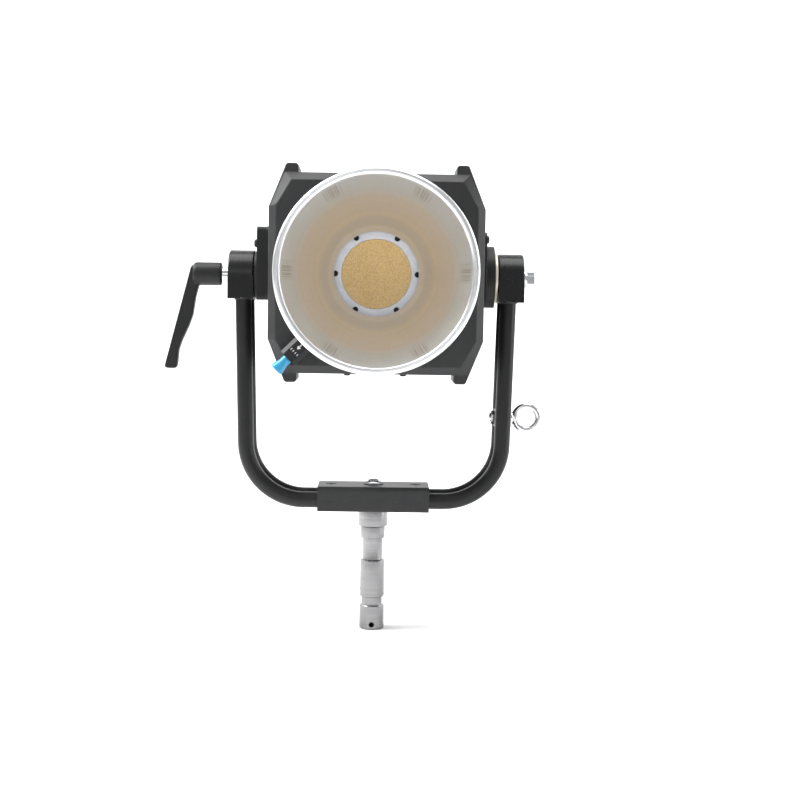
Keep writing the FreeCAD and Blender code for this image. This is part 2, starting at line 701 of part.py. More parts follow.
def plate_screw(side, seat, spot):
    """Button screw on a side plate, with its hexagon socket, and the tool for its hole."""
    radius = D.plate_screw_radius
    head = D.plate_screw_head
    under = D.shell_half_width + 2
    screw = turned("plate_screw", side_turn(side), [
        (0, under), (radius, under), (radius, seat), (head, seat), (head, seat + 1.8),
        (head - 1, seat + 3.2), (0, seat + 3.2)], (0,) + spot)
    low, high = outward(side, seat + 1.2, seat + 4)
    key = prism("plate_screw_key", "X", 2, low, high, spot)
    low, high = outward(side, D.shell_half_width + 1, seat + 1)
    hole = rod("plate_hole", "X", radius, low, high, spot)
    return cut("plate_screw_cut", screw, key), hole


def make_side_plate(name, side, boss_out, outline, boss_shape):
    """One side plate with its boss; gives back the screws that hold it."""
    turn = FreeCAD.Rotation() if side > 0 else FreeCAD.Rotation(Z_AXIS, 180)
    base = new_body("plate_base_" + name)
    rounded_pad(base, D.shell_half_width, D.base_out, outline, D.plate_margin)
    place(base, tilt_at(), turn)
    boss = new_body("plate_boss_" + name)
    boss_shape(boss)
    place(boss, tilt_at(), turn)
    flange_end = D.shell_half_width + D.flange_thick
    bore = turned("plate_bore_" + name, side_turn(side), [
        (0, D.shell_half_width - 1), (D.shaft_flange, D.shell_half_width - 1),
        (D.shaft_flange, flange_end), (D.shaft_radius, flange_end),
        (D.shaft_radius, boss_out + 1), (0, boss_out + 1)], tilt_at())
    seat = D.left_boss_out if side < 0 else D.base_out
    height = D.tilt_height + (D.left_screw_height if side < 0 else D.right_screw_height)
    pairs = [plate_screw(side, seat, (across * D.plate_screw_place, height))
             for across in (-1, 1)]
    solid = fuse("plate_fuse_" + name, [base, boss])
    holes = [hole for screw, hole in pairs]
    node("side_plate_" + name, cut("side_plate_cut_" + name, solid, bore, *holes))
    return [screw for screw, hole in pairs]


def make_side_plates():
    """The two side plates: a square boss on the left, a round one on the right."""
    half = D.boss_half_depth
    wide = half + D.plate_margin
    left = (D.left_boss_bottom, D.left_boss_top)
    right = (D.right_boss_bottom, D.right_base_top)
    screws = make_side_plate(
        "left", -1, D.left_boss_out, (wide,) + left,
        lambda boss: rounded_pad(boss, D.base_out, D.left_boss_out, (half,) + left, 5))
    screws += make_side_plate(
        "right", 1, D.right_boss_out, (wide,) + right,
        lambda boss: round_boss(boss, D.base_out, D.right_boss_out, D.right_boss_radius,
                                D.right_boss_bottom))
    node("side_plate_screws", group("plate_screw_group", screws))


def make_pivots():
    """Shafts, washers and the right pivot bolt, all carried by the head."""
    flange_end = D.shell_half_width + D.flange_thick
    seat = D.hub_outer_end + 0.3
    shaft = [(0, D.shell_half_width), (D.shaft_flange, D.shell_half_width),
             (D.shaft_flange, flange_end), (D.shaft_radius, flange_end)]
    left = shaft + [(D.shaft_radius, D.hub_outer_end - 0.3),
                    (D.lever_stud_bore, D.hub_outer_end - 0.3),
                    (D.lever_stud_bore, D.lever_stud_start), (0, D.lever_stud_start)]
    node("tilt_shaft_left", turned("shaft_left", side_turn(-1), left, tilt_at()))
    bolt_hole = 140
    right = shaft + [(D.shaft_radius, seat), (D.bolt_shank, seat), (D.bolt_shank, bolt_hole),
                     (0, bolt_hole)]
    node("tilt_shaft_right", turned("shaft_right", side_turn(1), right, tilt_at()))
    washer_end = seat + 3
    node("pivot_washer", turned("pivot_washer_turned", side_turn(1), sleeve(
        D.bolt_shank, D.bolt_washer, seat, washer_end, 0.4), tilt_at()))
    shank = rod("pivot_bolt_shank", "X", D.bolt_shank, bolt_hole + 2, washer_end + 2,
                (0, D.tilt_height))
    flange = rod("pivot_bolt_flange", "X", D.bolt_flange, washer_end, washer_end + 1.4,
                 (0, D.tilt_height))
    head = prism("pivot_bolt_hexagon", "X", D.bolt_hex, washer_end + 1.4, washer_end + 10,
                 (0, D.tilt_height))
    node("pivot_bolt", fuse("pivot_bolt_fuse", [shank, flange, head]))
    node("friction_disc_left", turned("disc_left", side_turn(-1), sleeve(
        D.shaft_radius, D.washer_large, D.left_boss_out, D.stack_end, 0.4), tilt_at()))
    node("brass_washer", turned("brass_washer_turned", side_turn(1), sleeve(
        D.shaft_radius, D.washer_large + 2, D.brass_start, D.brass_end), tilt_at()))
    spacers = [turned("spacer_washer", side_turn(1), sleeve(
        D.shaft_radius, D.washer_large, start, end), tilt_at())
        for start, end in ((D.right_boss_out, D.brass_start), (D.brass_end, D.stack_end))]
    node("spacer_washers", group("spacer_group", spacers))


# ---------------------------------------------------------------- tilt lever

def make_lever_core():
    """Steel stud of the ratchet clamp lever, with its screw and spring."""
    start = D.hub_outer_end + 0.3
    bevel = 0.6
    thread = D.lever_screw_radius
    stud = [(0, 116), (D.lever_stud_radius, 116), (D.lever_stud_radius, start),
            (D.lever_collar - bevel, start), (D.lever_collar, start + bevel),
            (D.lever_collar, D.lever_collar_end - bevel),
            (D.lever_collar - bevel, D.lever_collar_end), (D.lever_boss, D.lever_collar_end),
            (D.lever_boss, D.lever_boss_end), (thread, D.lever_boss_end),
            (thread, D.lever_boss_end - 10), (0, D.lever_boss_end - 10)]
    node("lever_stud", turned("lever_stud_turned", side_turn(-1), stud, tilt_at()))
    head = D.lever_hub_end - 6
    screw = [(0, D.lever_boss_end - 9), (thread, D.lever_boss_end - 9), (thread, head),
             (4.6, head), (4.6, head + 3.5), (4, head + 4), (2, head + 4), (2, head + 2),
             (0, head + 2)]
    node("lever_screw", turned("lever_screw_turned", side_turn(-1), screw, tilt_at()))
    node("lever_spring", turned("lever_spring_turned", side_turn(-1), sleeve(
        thread + 0.5, D.spring_radius, head - 2.7, head - 0.1), tilt_at()))


def make_lever_handle():
    """Cast handle of the clamp lever: a round hub and a hanging arm."""
    arm = new_body("lever_arm_body")
    sketch = new_sketch(arm, "XZ_Plane", -D.lever_depth / 2)
    root = D.lever_hub_end - 18
    outline = [(root, 11), (D.lever_hub_end + 2.5, 9.5), (D.lever_tip_out, 2 - D.lever_drop),
               (D.lever_tip_out - 3, -D.lever_drop), (D.lever_tip_in, -D.lever_drop),
               (D.lever_tip_in - 1, -96), (D.lever_tip_in - 6, -78), (212, -60), (206, -42),
               (202.5, -16), (196, -9), (root, -9)]
    add_outline(sketch, [(-size(x), z) for x, z in outline])
    pad(arm, sketch, D.lever_depth)
    soften(arm, "Fillet", 2.5, lambda edge, middle: along(edge, Y_AXIS)
           and middle.x < -D.lever_hub_end.value and middle.z > 0)
    place(arm, tilt_at())
    hub = turned("lever_hub_turned", side_turn(-1), [
        (0, D.lever_collar_end + 0.3), (D.lever_hub - 1, D.lever_collar_end + 0.3),
        (D.lever_hub, D.lever_collar_end + 1.3), (D.lever_hub, D.lever_hub_end - 1.5),
        (D.lever_hub - 1.5, D.lever_hub_end), (0, D.lever_hub_end)], tilt_at())
    solid = fuse("lever_handle_solid", [arm, hub])
    fit = D.lever_boss + 0.08
    thread = D.lever_screw_radius + 0.3
    pit = D.spring_radius + 0.3
    seat = D.lever_boss_end + 0.4
    bore = turned("lever_handle_bore", side_turn(-1), [
        (0, D.lever_collar_end - 1), (fit, D.lever_collar_end - 1), (fit, seat), (thread, seat),
        (thread, 190), (pit, 190), (pit, D.lever_hub_end + 6), (0, D.lever_hub_end + 6)],
        tilt_at())
    node("lever_handle", cut("lever_handle_cut", solid, bore))


# ---------------------------------------------------------------- lamp and reflector

def make_lamp():
    """COB module: substrate, emitter, white retainer and its screws."""
    front = D.frame_front
    node("cob_substrate", turned("cob_substrate_turned", FORWARD, sleeve(
        0, 52, front - 4, front), OPTICAL))
    node("cob_emitter", turned("cob_emitter_turned", FORWARD, sleeve(
        0, D.emitter_radius, front, front + 1.6), OPTICAL))
    plate = turned("cob_retainer_turned", FORWARD, [
        (D.retainer_bore, front), (D.retainer_outer, front), (D.retainer_outer, front + 2.6),
        (D.retainer_bore + 1.2, front + 2.6), (D.retainer_bore, front + 1.6)], OPTICAL)
    holes = []
    screws = []
    for index in range(6):
        angle = math.radians(60 * index)
        spot = (D.retainer_hole_ring.value * math.cos(angle),
                D.optical_height + D.retainer_hole_ring.value * math.sin(angle))
        holes.append(rod("retainer_hole", "Y", D.retainer_hole, -front - 4, -front + 1, spot))
        screws.append(rod("cob_screw", "Y", 2.9, -front - 0.9, -front, spot))
    node("cob_retainer", cut("cob_retainer_cut", plate, *holes))
    node("cob_screws", group("cob_screw_group", screws))


def lug_angle(index):
    """Direction of one of the three bayonet lugs round the optical axis, in degrees."""
    return D.latch_angle.value + 60 + 120 * index


def make_mount_ring():
    """Bayonet ring on the front frame, with three entry gaps and the latch pin's hole."""
    back = D.frame_front
    under = back + 4.5
    over = back + 12.5
    body = turned("mount_ring_turned", FORWARD, [
        (D.ring_lip, back), (D.ring_outer, back), (D.ring_outer, D.ring_front - 1.5),
        (D.ring_outer - 1.5, D.ring_front), (D.ring_lip, D.ring_front), (D.ring_lip, over),
        (D.ring_groove, over), (D.ring_groove, under), (D.ring_lip, under)], OPTICAL)
    inside = D.ring_lip - 6
    low = over - 0.5
    gaps = []
    for index in range(3):
        turn = FORWARD.multiply(FreeCAD.Rotation(Z_AXIS, lug_angle(index) + D.gap_twist.value))
        gap = box("ring_gap", (inside, -D.gap_half, low),
                  (D.ring_groove, D.gap_half, D.ring_front + 1))
        corner = turn.multVec(FreeCAD.Vector(inside.value, -D.gap_half.value, low.value))
        gaps.append(place_free(gap, corner + FreeCAD.Vector(0, 0, D.optical_height.value), turn))
    hole = latch_turned("ring_pin_hole", sleeve(0, D.latch_pin_radius + 0.1, inside,
                                                D.ring_outer + 5))
    node("mount_ring", cut("mount_ring_cut", body, hole, *gaps))


def latch_rotation():
    """Turn that lays local Z along the latch's radial direction."""
    return FreeCAD.Rotation(Y_AXIS, 90 - D.latch_angle.value)


def latch_turned(name, profile):
    """A piece turned about the latch pin's axis; distances count from the optical axis."""
    return turned(name, latch_rotation(), profile, (0, -D.latch_axis, D.optical_height))


def make_latch_housing():
    """Bevelled housing on the bayonet ring, bored for the pin and its spring."""
    start = D.latch_in - 2
    body = new_body("latch_housing_body")
    sketch = new_sketch(body, "XY_Plane", start)
    w = D.latch_half_width
    bevel = D.latch_bevel
    add_outline(sketch, [(-w, -D.frame_front), (w, -D.frame_front), (w, bevel - D.latch_front),
                         (w - bevel, -D.latch_front), (bevel - w, -D.latch_front),
                         (-w, bevel - D.latch_front)])
    pad(body, sketch, D.latch_out - start)
    place(body, OPTICAL, latch_rotation())
    ring_outside = turned("latch_housing_seat", FORWARD, sleeve(
        0, D.ring_outer, D.frame_front - 1, D.latch_front + 2), OPTICAL)
    fit = D.latch_pin_radius + 0.1
    spring_end = D.latch_out - 3
    bore = latch_turned("latch_housing_bore", [
        (0, start - 8), (fit, start - 8), (fit, D.latch_collar - 4),
        (D.latch_bore, D.latch_collar - 4), (D.latch_bore, spring_end), (fit, spring_end),
        (fit, D.latch_out + 1), (0, D.latch_out + 1)])
    node("latch_housing", cut("latch_housing_cut", body, ring_outside, bore))


def make_latch():
    """Latch pin with its collar, the blue knob on it and the spring behind it."""
    pin = D.latch_pin_radius
    collar = D.latch_bore - 0.3
    end = D.latch_pin_end
    node("latch_pin", latch_turned("latch_pin_turned", [
        (0, D.latch_pin_tip), (pin - 0.8, D.latch_pin_tip), (pin, D.latch_pin_tip + 0.8),
        (pin, D.latch_collar), (collar, D.latch_collar), (collar, D.latch_collar + 2.5),
        (pin, D.latch_collar + 2.5), (pin, end), (0, end)]))
    neck = D.knob_neck
    flare = D.knob_flare
    node("latch_knob", latch_turned("latch_knob_turned", [
        (pin, D.knob_in), (neck - 0.5, D.knob_in), (neck, D.knob_in + 0.5), (neck, end - 5),
        (neck + 0.5, end - 2.5), (neck + 1.2, end), (flare - 0.2, D.knob_out - 3.2),
        (flare, D.knob_out - 2.4), (flare, D.knob_out - 0.8), (flare - 0.8, D.knob_out),
        (0, D.knob_out), (0, end), (pin, end)]))
    node("latch_spring", latch_turned("latch_spring_turned", sleeve(
        pin + 0.3, D.latch_bore - 0.4, D.latch_out - 13, D.latch_out - 3.2)))


def bowl_radius(distance):
    """Inner radius of the bowl: its square grows evenly from the neck to the mouth."""
    share = (distance - D.bowl_back.value) / (D.bowl_front.value - D.bowl_back.value)
    neck = D.neck_bore.value
    mouth = D.bowl_mouth.value
    return math.sqrt(neck ** 2 + (mouth ** 2 - neck ** 2) * share)


def bowl_section():
    """Face between the bowl's inner and outer curves, with the flange at its neck."""
    steps = 12
    wall = D.bowl_wall.value
    back = D.bowl_back.value
    front = D.bowl_front.value
    inner = []
    outer = []
    for index in range(steps + 1):
        distance = back + (front - back) * index / steps
        radius = bowl_radius(distance)
        slope = (bowl_radius(distance + 0.1) - radius) / 0.1
        inner.append(FreeCAD.Vector(radius, -distance, 0))
        outer.append(FreeCAD.Vector(radius + wall * math.hypot(1, slope), -distance, 0))
    inner_curve = Part.BSplineCurve()
    inner_curve.interpolate(inner)
    outer_curve = Part.BSplineCurve()
    outer_curve.interpolate(outer)
    flange = D.adapter_inner.value
    corners = [inner[0], FreeCAD.Vector(inner[0].x, wall - back, 0),
               FreeCAD.Vector(flange, wall - back, 0), FreeCAD.Vector(flange, -back, 0), outer[0]]
    edges = [Part.LineSegment(a, b).toShape() for a, b in zip(corners[:-1], corners[1:])]
    edges += [outer_curve.toShape(), Part.LineSegment(outer[-1], inner[-1]).toShape(),
              inner_curve.toShape()]
    return Part.Face(Part.Wire(Part.__sortEdges__(edges)))


def make_bowl():
    """Spun bowl with a parabola for its wall, and the polished ring round its mouth."""
    bowl = doc.addObject("Part::Feature", "bowl_shape")
    bowl.Shape = bowl_section().revolve(FreeCAD.Vector(0, 0, 0), Y_AXIS, 360)
    place(bowl, OPTICAL)
    node("reflector_bowl", bowl)
    rim = ring("rim_torus", "Y", D.rim_centre, D.rim_wire,
               (0, -D.bowl_front - 0.6, D.optical_height))
    cutter = doc.addObject("Part::Feature", "bowl_envelope")
    cutter.Shape = bowl.Shape
    node("reflector_rim", cut("reflector_rim_cut", rim, cutter))


def make_lug(index, start):
    """One bayonet lug that stands out from the adapter's sleeve."""
    root = D.adapter_outer - 2
    lug = new_body("adapter_lug")
    sketch = new_sketch(lug, "XY_Plane", start)
    add_outline(sketch, [(root, -D.lug_half), (D.lug_edge, -D.lug_half),
                         (D.lug_radius - 0.1, 0), (D.lug_edge, D.lug_half),
                         (root, D.lug_half)])
    pad(lug, sketch, D.lug_thick)
    place(lug, OPTICAL, FORWARD.multiply(FreeCAD.Rotation(Z_AXIS, lug_angle(index))))
    return lug


def make_adapter():
    """The bowl's bayonet adapter: sleeve with lugs and the latch pin's channel, plate, rivets."""
    flange_back = D.bowl_back - D.bowl_wall
    plate_back = D.ring_front + 0.6
    sleeve_back = flange_back - 2
    tube = turned("adapter_turned", FORWARD, [
        (D.adapter_bore, sleeve_back), (D.adapter_outer, sleeve_back),
        (D.adapter_outer, plate_back), (D.adapter_inner, plate_back),
        (D.adapter_inner, flange_back), (D.adapter_bore, flange_back)], OPTICAL)
    node("adapter_plate", turned("adapter_plate_turned", FORWARD, sleeve(
        D.adapter_inner + 0.3, D.ring_outer - 4, plate_back, plate_back + 3, 0.6), OPTICAL))
    lugs = [make_lug(index, D.frame_front + 5.5) for index in range(3)]
    solid = fuse("adapter_fuse", [tube] + lugs)
    start = D.latch_angle.value - D.twist_travel.value - D.channel_margin.value
    length = D.twist_travel.value + 2 * D.channel_margin.value
    turn = FORWARD.multiply(FreeCAD.Rotation(Z_AXIS, start))
    channel = turned("adapter_channel", turn, sleeve(
        D.channel_floor, D.adapter_outer + 1, sleeve_back - 1, plate_back + 1), OPTICAL, length)
    rivets = []
    holes = []
    for index in range(6):
        angle = math.radians(60 * index + 30)
        spot = (D.rivet_ring.value * math.cos(angle),
                D.optical_height + D.rivet_ring.value * math.sin(angle))
        for name, pieces in (("rivet_hole", holes), ("rivet", rivets)):
            pieces.append(rod(name, "Y", D.rivet_radius, -flange_back, 2 - flange_back, spot))
    node("reflector_adapter", cut("adapter_cut", solid, channel, *holes))
    node("reflector_rivets", group("rivet_group", rivets))


# ---------------------------------------------------------------- cooling and rear

def make_cooling():
    """Spreader, heat pipes, fin stack, two fans on a bracket, driver board."""
    height = D.optical_height
    back = D.front_wall - D.frame_front
    slab_end = back + 10
    slab = box("heat_spreader_slab", (-70, back, height - 60), (70, slab_end, height + 60))
    pedestal = turned("heat_spreader_pedestal", FORWARD, sleeve(
        0, D.lamp_hole, -back - 1, D.frame_front - 4), OPTICAL)
    node("heat_spreader", fuse("heat_spreader_fuse", [slab, pedestal]))
    spots = [(x, height + z) for x in (-54, -18, 18, 54) for z in (-36, 36)]
    pipes = [rod("heat_pipe", "Y", D.pipe_radius, slab_end, 62, spot) for spot in spots]
    node("heat_pipes", group("heat_pipe_group", pipes))
    fins = []
    for index in range(20):
        start = size(-60 + 6 * index)
        fin = box("fin_blank", (-D.fin_half_width, start, height - D.fin_half_height),
                  (D.fin_half_width, start + 1, height + D.fin_half_height))
        holes = [rod("fin_hole", "Y", D.pipe_radius, start - 1, start + 2, spot) for spot in spots]
        fins.append(cut("fin", fin, *holes))
    node("fin_stack", group("fin_group", fins))
    plate = box("fan_plate_blank", (-98, D.fan_back, height - 60), (98, D.fan_back + 2, height + 60))
    windows = [rod("fan_window", "Y", D.fan_bore, D.fan_back - 1, D.fan_back + 3,
                   (side * D.fan_place, height)) for side in (-1, 1)]
    node("fan_bracket", cut("fan_bracket_cut", plate, *windows))
    for name, side in (("left", -1), ("right", 1)):
        make_fan_frame(name, side * D.fan_place)
        make_rotor(name, side * D.fan_place)
    node("driver_board", box("driver_board_blank", (-60, D.fan_back + 2, height - 88),
                             (60, D.fan_back + 3.6, height - 52)))


def make_fan_frame(name, centre):
    """One square fan frame with the struts and disc of its stator, and its pin."""
    height = D.optical_height
    half = D.fan_half
    reach = half - 1
    start = D.fan_back - D.strut_thick
    blank = box("fan_frame_blank", (centre - half, D.fan_front, height - half),
                (centre + half, D.fan_back, height + half))
    duct = rod("fan_duct", "Y", D.fan_bore, D.fan_front - 1, D.fan_back + 1, (centre, height))
    square = cut("fan_square", blank, duct)
    across = box("fan_strut_across", (centre - reach, start, height - D.strut_half),
                 (centre + reach, D.fan_back, height + D.strut_half))
    upright = box("fan_strut_upright", (centre - D.strut_half, start, height - reach),
                  (centre + D.strut_half, D.fan_back, height + reach))
    disc = rod("fan_stator_disc", "Y", D.rotor_hub - 1, start, D.fan_back, (centre, height))
    pin = rod("fan_pin", "Y", 2, D.fan_front + 6, D.fan_back, (centre, height))
    node("fan_frame_" + name, fuse("fan_frame_fuse", [square, across, upright, disc, pin]))


def make_rotor(name, centre):
    """One fan rotor: a hub with pitched blades, trimmed to run inside its duct."""
    height = D.optical_height
    start = D.fan_front + 2
    end = D.fan_back - 4
    count = 9
    pitch = 36
    thick = 1.6
    width = 19
    root = D.rotor_hub.value - 3
    hub = rod("rotor_hub_blank", "Y", D.rotor_hub, start, end, (centre, height))
    middle = FreeCAD.Vector(centre.value, (start + end).value / 2, height.value)
    blades = []
    for index in range(count):
        blade = doc.addObject("Part::Box", "rotor_blade")
        blade.Length = D.rotor_radius.value - root
        blade.Width = width
        blade.Height = thick
        spin = FreeCAD.Rotation(Y_AXIS, 360 / count * index)
        turn = spin.multiply(FreeCAD.Rotation(X_AXIS, pitch))
        corner = turn.multVec(FreeCAD.Vector(root, -width / 2, -thick / 2))
        blade.Placement = FreeCAD.Placement(middle + corner, turn)
        blades.append(blade)
    solid = fuse("rotor_solid", [hub] + blades)
    keep = turned("rotor_envelope", TURNS["Y"], sleeve(2.06, D.rotor_radius, start, end),
                  (centre, 0, height))
    rotor = doc.addObject("Part::Common", "rotor_common")
    rotor.Base = solid
    rotor.Tool = keep
    node("fan_rotor_" + name, rotor)


def make_grille():
    """Rear grille with louvre slots; gives back its corner screws."""
    height = D.optical_height
    back = D.rear_back
    front = back + D.grille_thick
    half = D.grille_half
    plate = box("grille_blank", (-half, back, height - half), (half, front, height + half))
    slots = [box("grille_slot", (-60, back - 1, height - 35 + 10 * index),
                 (60, front + 1, height - 30 + 10 * index)) for index in range(10)]
    inlet_hole = rod("inlet_hole", "Y", 14, back - 1, front + 1, (0, height - D.inlet_drop))
    corners = [(across * D.grille_screw_place, height + up * D.grille_screw_place)
               for across in (-1, 1) for up in (-1, 1)]
    holes = [rod("grille_screw_hole", "Y", 2, back - 1, front + 1, spot) for spot in corners]
    node("rear_grille", cut("rear_grille_cut", plate, inlet_hole, *(slots + holes)))
    return [turned("grille_screw", "Y", [
        (0, back), (2, back), (2, front), (3.8, front), (3.8, front + 1.4), (2.8, front + 2.4),
        (0, front + 2.4)], (x, 0, z)) for x, z in corners]


def make_rear_handle():
    """Carrying handle: two posts off the grille and a thick grip."""
    height = D.optical_height + D.handle_height
    posts = [rod("handle_post", "Y", D.post_radius, D.rear_back + D.grille_thick,
                 D.handle_reach, (side * D.handle_place, height)) for side in (-1, 1)]
    node("handle_posts", group("handle_post_group", posts))
    grip_half = D.handle_place - 8
    node("handle_grip", rod("handle_grip_rod", "X", D.handle_radius, -grip_half, grip_half,
                            (D.handle_reach - 8, height)))


def make_inlet():
    """Round power inlet in the grille, and the core that carries its contacts."""
    back = D.rear_back
    at = (0, 0, D.optical_height - D.inlet_drop)
    node("power_inlet", turned("inlet_turned", TURNS["Y"], [
        (11, back - 12), (13.9, back - 12), (13.9, back + 3), (18, back + 3), (18, back + 6),
        (14.5, back + 6), (14.5, back + 16), (12, back + 16), (12, back - 8), (11, back - 8)],
        at))
    core = turned("inlet_core_turned", TURNS["Y"], sleeve(0, 9.5, back - 12, back + 12), at)
    disc = turned("inlet_disc_turned", TURNS["Y"], sleeve(0, 11, back - 12, back - 8.5), at)
    node("inlet_contacts", fuse("inlet_contacts_fuse", [core, disc]))


def frame_screws():
    """Button screws under the front frame."""
    screws = []
    low = D.optical_height - D.frame_half_height
    for x in (-30, 30):
        for y in (-82, -52):
            screws.append(turned("frame_screw", "Z", [
                (0, low - 2.2), (2.6, low - 2.2), (3.8, low - 1), (3.8, low), (0, low)],
                (x, y, 0)))
    return screws


def build():
    """Make every piece, check it, and write its file."""
    make_spigot()
    make_block()
    make_spigot_nut()
    make_tube("yoke_tube_front", -1)
    make_tube("yoke_tube_rear", 1)
    node("hub_bushes", group("bush_group", [make_hub("left", -1), make_hub("right", 1)]))
    make_eye_boss()
    make_eye()
    make_frames()
    make_shell()
    make_side_plates()
    make_pivots()
    make_lever_core()
    make_lever_handle()
    make_lamp()
    make_mount_ring()
    make_latch_housing()
    make_latch()
    make_bowl()
    make_adapter()
    make_cooling()
    casing_screws = make_grille() + frame_screws()
    node("casing_screws", group("casing_screw_group", casing_screws))
    make_rear_handle()
    make_inlet()
    doc.recompute()
    broken = [thing.Label for thing in doc.Objects
              if "Invalid" in thing.State or "Error" in thing.State]
    if broken:
        raise ValueError("failed objects: %s" % ", ".join(broken))
    os.makedirs("parts", exist_ok=True)
    for label, thing in NODES.items():
        shape = thing.Shape
        if shape.isNull() or not shape.isValid():
            raise ValueError("%s has no valid shape" % label)
        shape.exportStep("parts/%s.step" % label)
        print("%-22s %2d solids %10.1f mm3" % (label, len(shape.Solids), shape.Volume))


build()
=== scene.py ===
import json
import math

import bmesh
import bpy
import numpy as np
from bpy.props import FloatProperty, FloatVectorProperty, IntProperty, PointerProperty
from mathutils import Matrix, Vector


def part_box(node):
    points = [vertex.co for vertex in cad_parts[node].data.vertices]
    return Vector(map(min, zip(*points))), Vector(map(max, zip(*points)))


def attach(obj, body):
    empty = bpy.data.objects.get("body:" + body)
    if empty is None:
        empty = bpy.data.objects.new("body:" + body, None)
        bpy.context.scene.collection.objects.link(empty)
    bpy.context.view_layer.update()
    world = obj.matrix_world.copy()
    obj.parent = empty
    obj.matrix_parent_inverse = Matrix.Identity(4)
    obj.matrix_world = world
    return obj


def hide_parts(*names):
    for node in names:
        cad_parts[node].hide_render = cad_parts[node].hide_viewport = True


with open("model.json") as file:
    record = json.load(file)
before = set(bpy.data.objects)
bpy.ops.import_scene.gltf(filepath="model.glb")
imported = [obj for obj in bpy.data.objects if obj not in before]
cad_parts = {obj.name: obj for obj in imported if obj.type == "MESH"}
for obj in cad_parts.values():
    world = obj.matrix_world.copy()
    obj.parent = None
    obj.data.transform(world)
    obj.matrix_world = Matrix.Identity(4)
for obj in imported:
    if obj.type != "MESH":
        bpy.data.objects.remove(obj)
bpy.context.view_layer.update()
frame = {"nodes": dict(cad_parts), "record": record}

bl_info = {
    "name": "Studio Spotlight Surfaces",
    "version": (1, 0, 0),
    "blender": (4, 5, 0),
    "location": "View3D > Sidebar > Spotlight",
    "description": "Builds the finished surfaces, materials and stage of a studio spotlight",
    "category": "Object",
}

# Shapes are worked out in millimetres and put into the meshes in metres.
MM = 0.001
BODY_OF = {node: body for body, nodes in frame["record"]["behaviour"]["bodies"].items()
           for node in nodes}
SLOT_OF = {part["node"]: part["material_slot"] for part in frame["record"]["subparts"]}


def span(node):
    """Lowest and highest corner of a solid part, in millimetres."""
    low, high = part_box(node)
    return np.array(low) / MM, np.array(high) / MM


def middle(node):
    """Middle of a solid part's box, in millimetres."""
    low, high = span(node)
    return (low + high) / 2


TILT = float(middle("yoke_hub_left")[2])
OPTICAL = float(middle("reflector_rim")[2])
LATCH_ANGLE = math.radians(224.4)


# ------------------------------------------------------------------ sizes and colours

class SpotlightSizes(bpy.types.PropertyGroup):
    """Sizes that a user may change; the rest follow from the solid parts."""

    casing_bevel: FloatProperty(
        name="Casing edge", description="Width of the rounding along the casing's edges",
        default=0.0011, min=0.0002, max=0.002, unit="LENGTH")
    small_bevel: FloatProperty(
        name="Small edge", description="Width of the rounding along the edges of small parts",
        default=0.0004, min=0.0001, max=0.001, unit="LENGTH")
    weld_radius: FloatProperty(
        name="Weld bead", description="Radius of the bead where a tube meets its hub",
        default=0.0013, min=0.0005, max=0.003, unit="LENGTH")
    bowl_segments: IntProperty(
        name="Bowl segments", description="Number of sides of the bowl and its rim",
        default=256, min=64, max=360)
    spin_depth: FloatProperty(
        name="Spinning marks", description="Depth of the shallow rings left by spinning the bowl",
        default=0.00004, min=0.0, max=0.0002, unit="LENGTH")
    pebble_height: FloatProperty(
        name="Pebble height", description="Height of the phosphor's small domes",
        default=0.00022, min=0.0, max=0.0005, unit="LENGTH")


class SpotlightColours(bpy.types.PropertyGroup):
    """Base colours of the finishes."""

    casing: FloatVectorProperty(
        name="Casing", description="Powder coat of the front frame, side plates and shell",
        default=(0.030, 0.0303, 0.031), size=3, subtype="COLOR", min=0, max=1)
    black: FloatVectorProperty(
        name="Black", description="Powder coat of the yoke",
        default=(0.012, 0.012, 0.0125), size=3, subtype="COLOR", min=0, max=1)
    bowl: FloatVectorProperty(
        name="Bowl", description="Spun aluminium of the reflector bowl",
        default=(0.93, 0.92, 0.92), size=3, subtype="COLOR", min=0, max=1)
    phosphor: FloatVectorProperty(
        name="Phosphor", description="Golden phosphor over the light's chips",
        default=(0.90, 0.56, 0.21), size=3, subtype="COLOR", min=0, max=1)
    knob: FloatVectorProperty(
        name="Knob", description="Blue of the latch knob",
        default=(0.02, 0.31, 0.56), size=3, subtype="COLOR", min=0, max=1)
    brass: FloatVectorProperty(
        name="Brass", description="Brass of the friction washer",
        default=(0.86, 0.78, 0.62), size=3, subtype="COLOR", min=0, max=1)


def sizes():
    """The scene's sizes."""
    return bpy.context.scene.spotlight_sizes


def colours():
    """The scene's colours."""
    return bpy.context.scene.spotlight_colours


# ------------------------------------------------------------------ shapes

AXES = {
    "X": ((0, 1, 0), (0, 0, 1), (1, 0, 0)),
    "-X": ((0, 0, 1), (0, 1, 0), (-1, 0, 0)),
    "Y": ((0, 0, 1), (1, 0, 0), (0, 1, 0)),
    "-Y": ((1, 0, 0), (0, 0, 1), (0, -1, 0)),
    "Z": ((1, 0, 0), (0, 1, 0), (0, 0, 1)),
    "LATCH": ((0, -1, 0), (-math.sin(LATCH_ANGLE), 0, math.cos(LATCH_ANGLE)),
              (math.cos(LATCH_ANGLE), 0, math.sin(LATCH_ANGLE))),
}


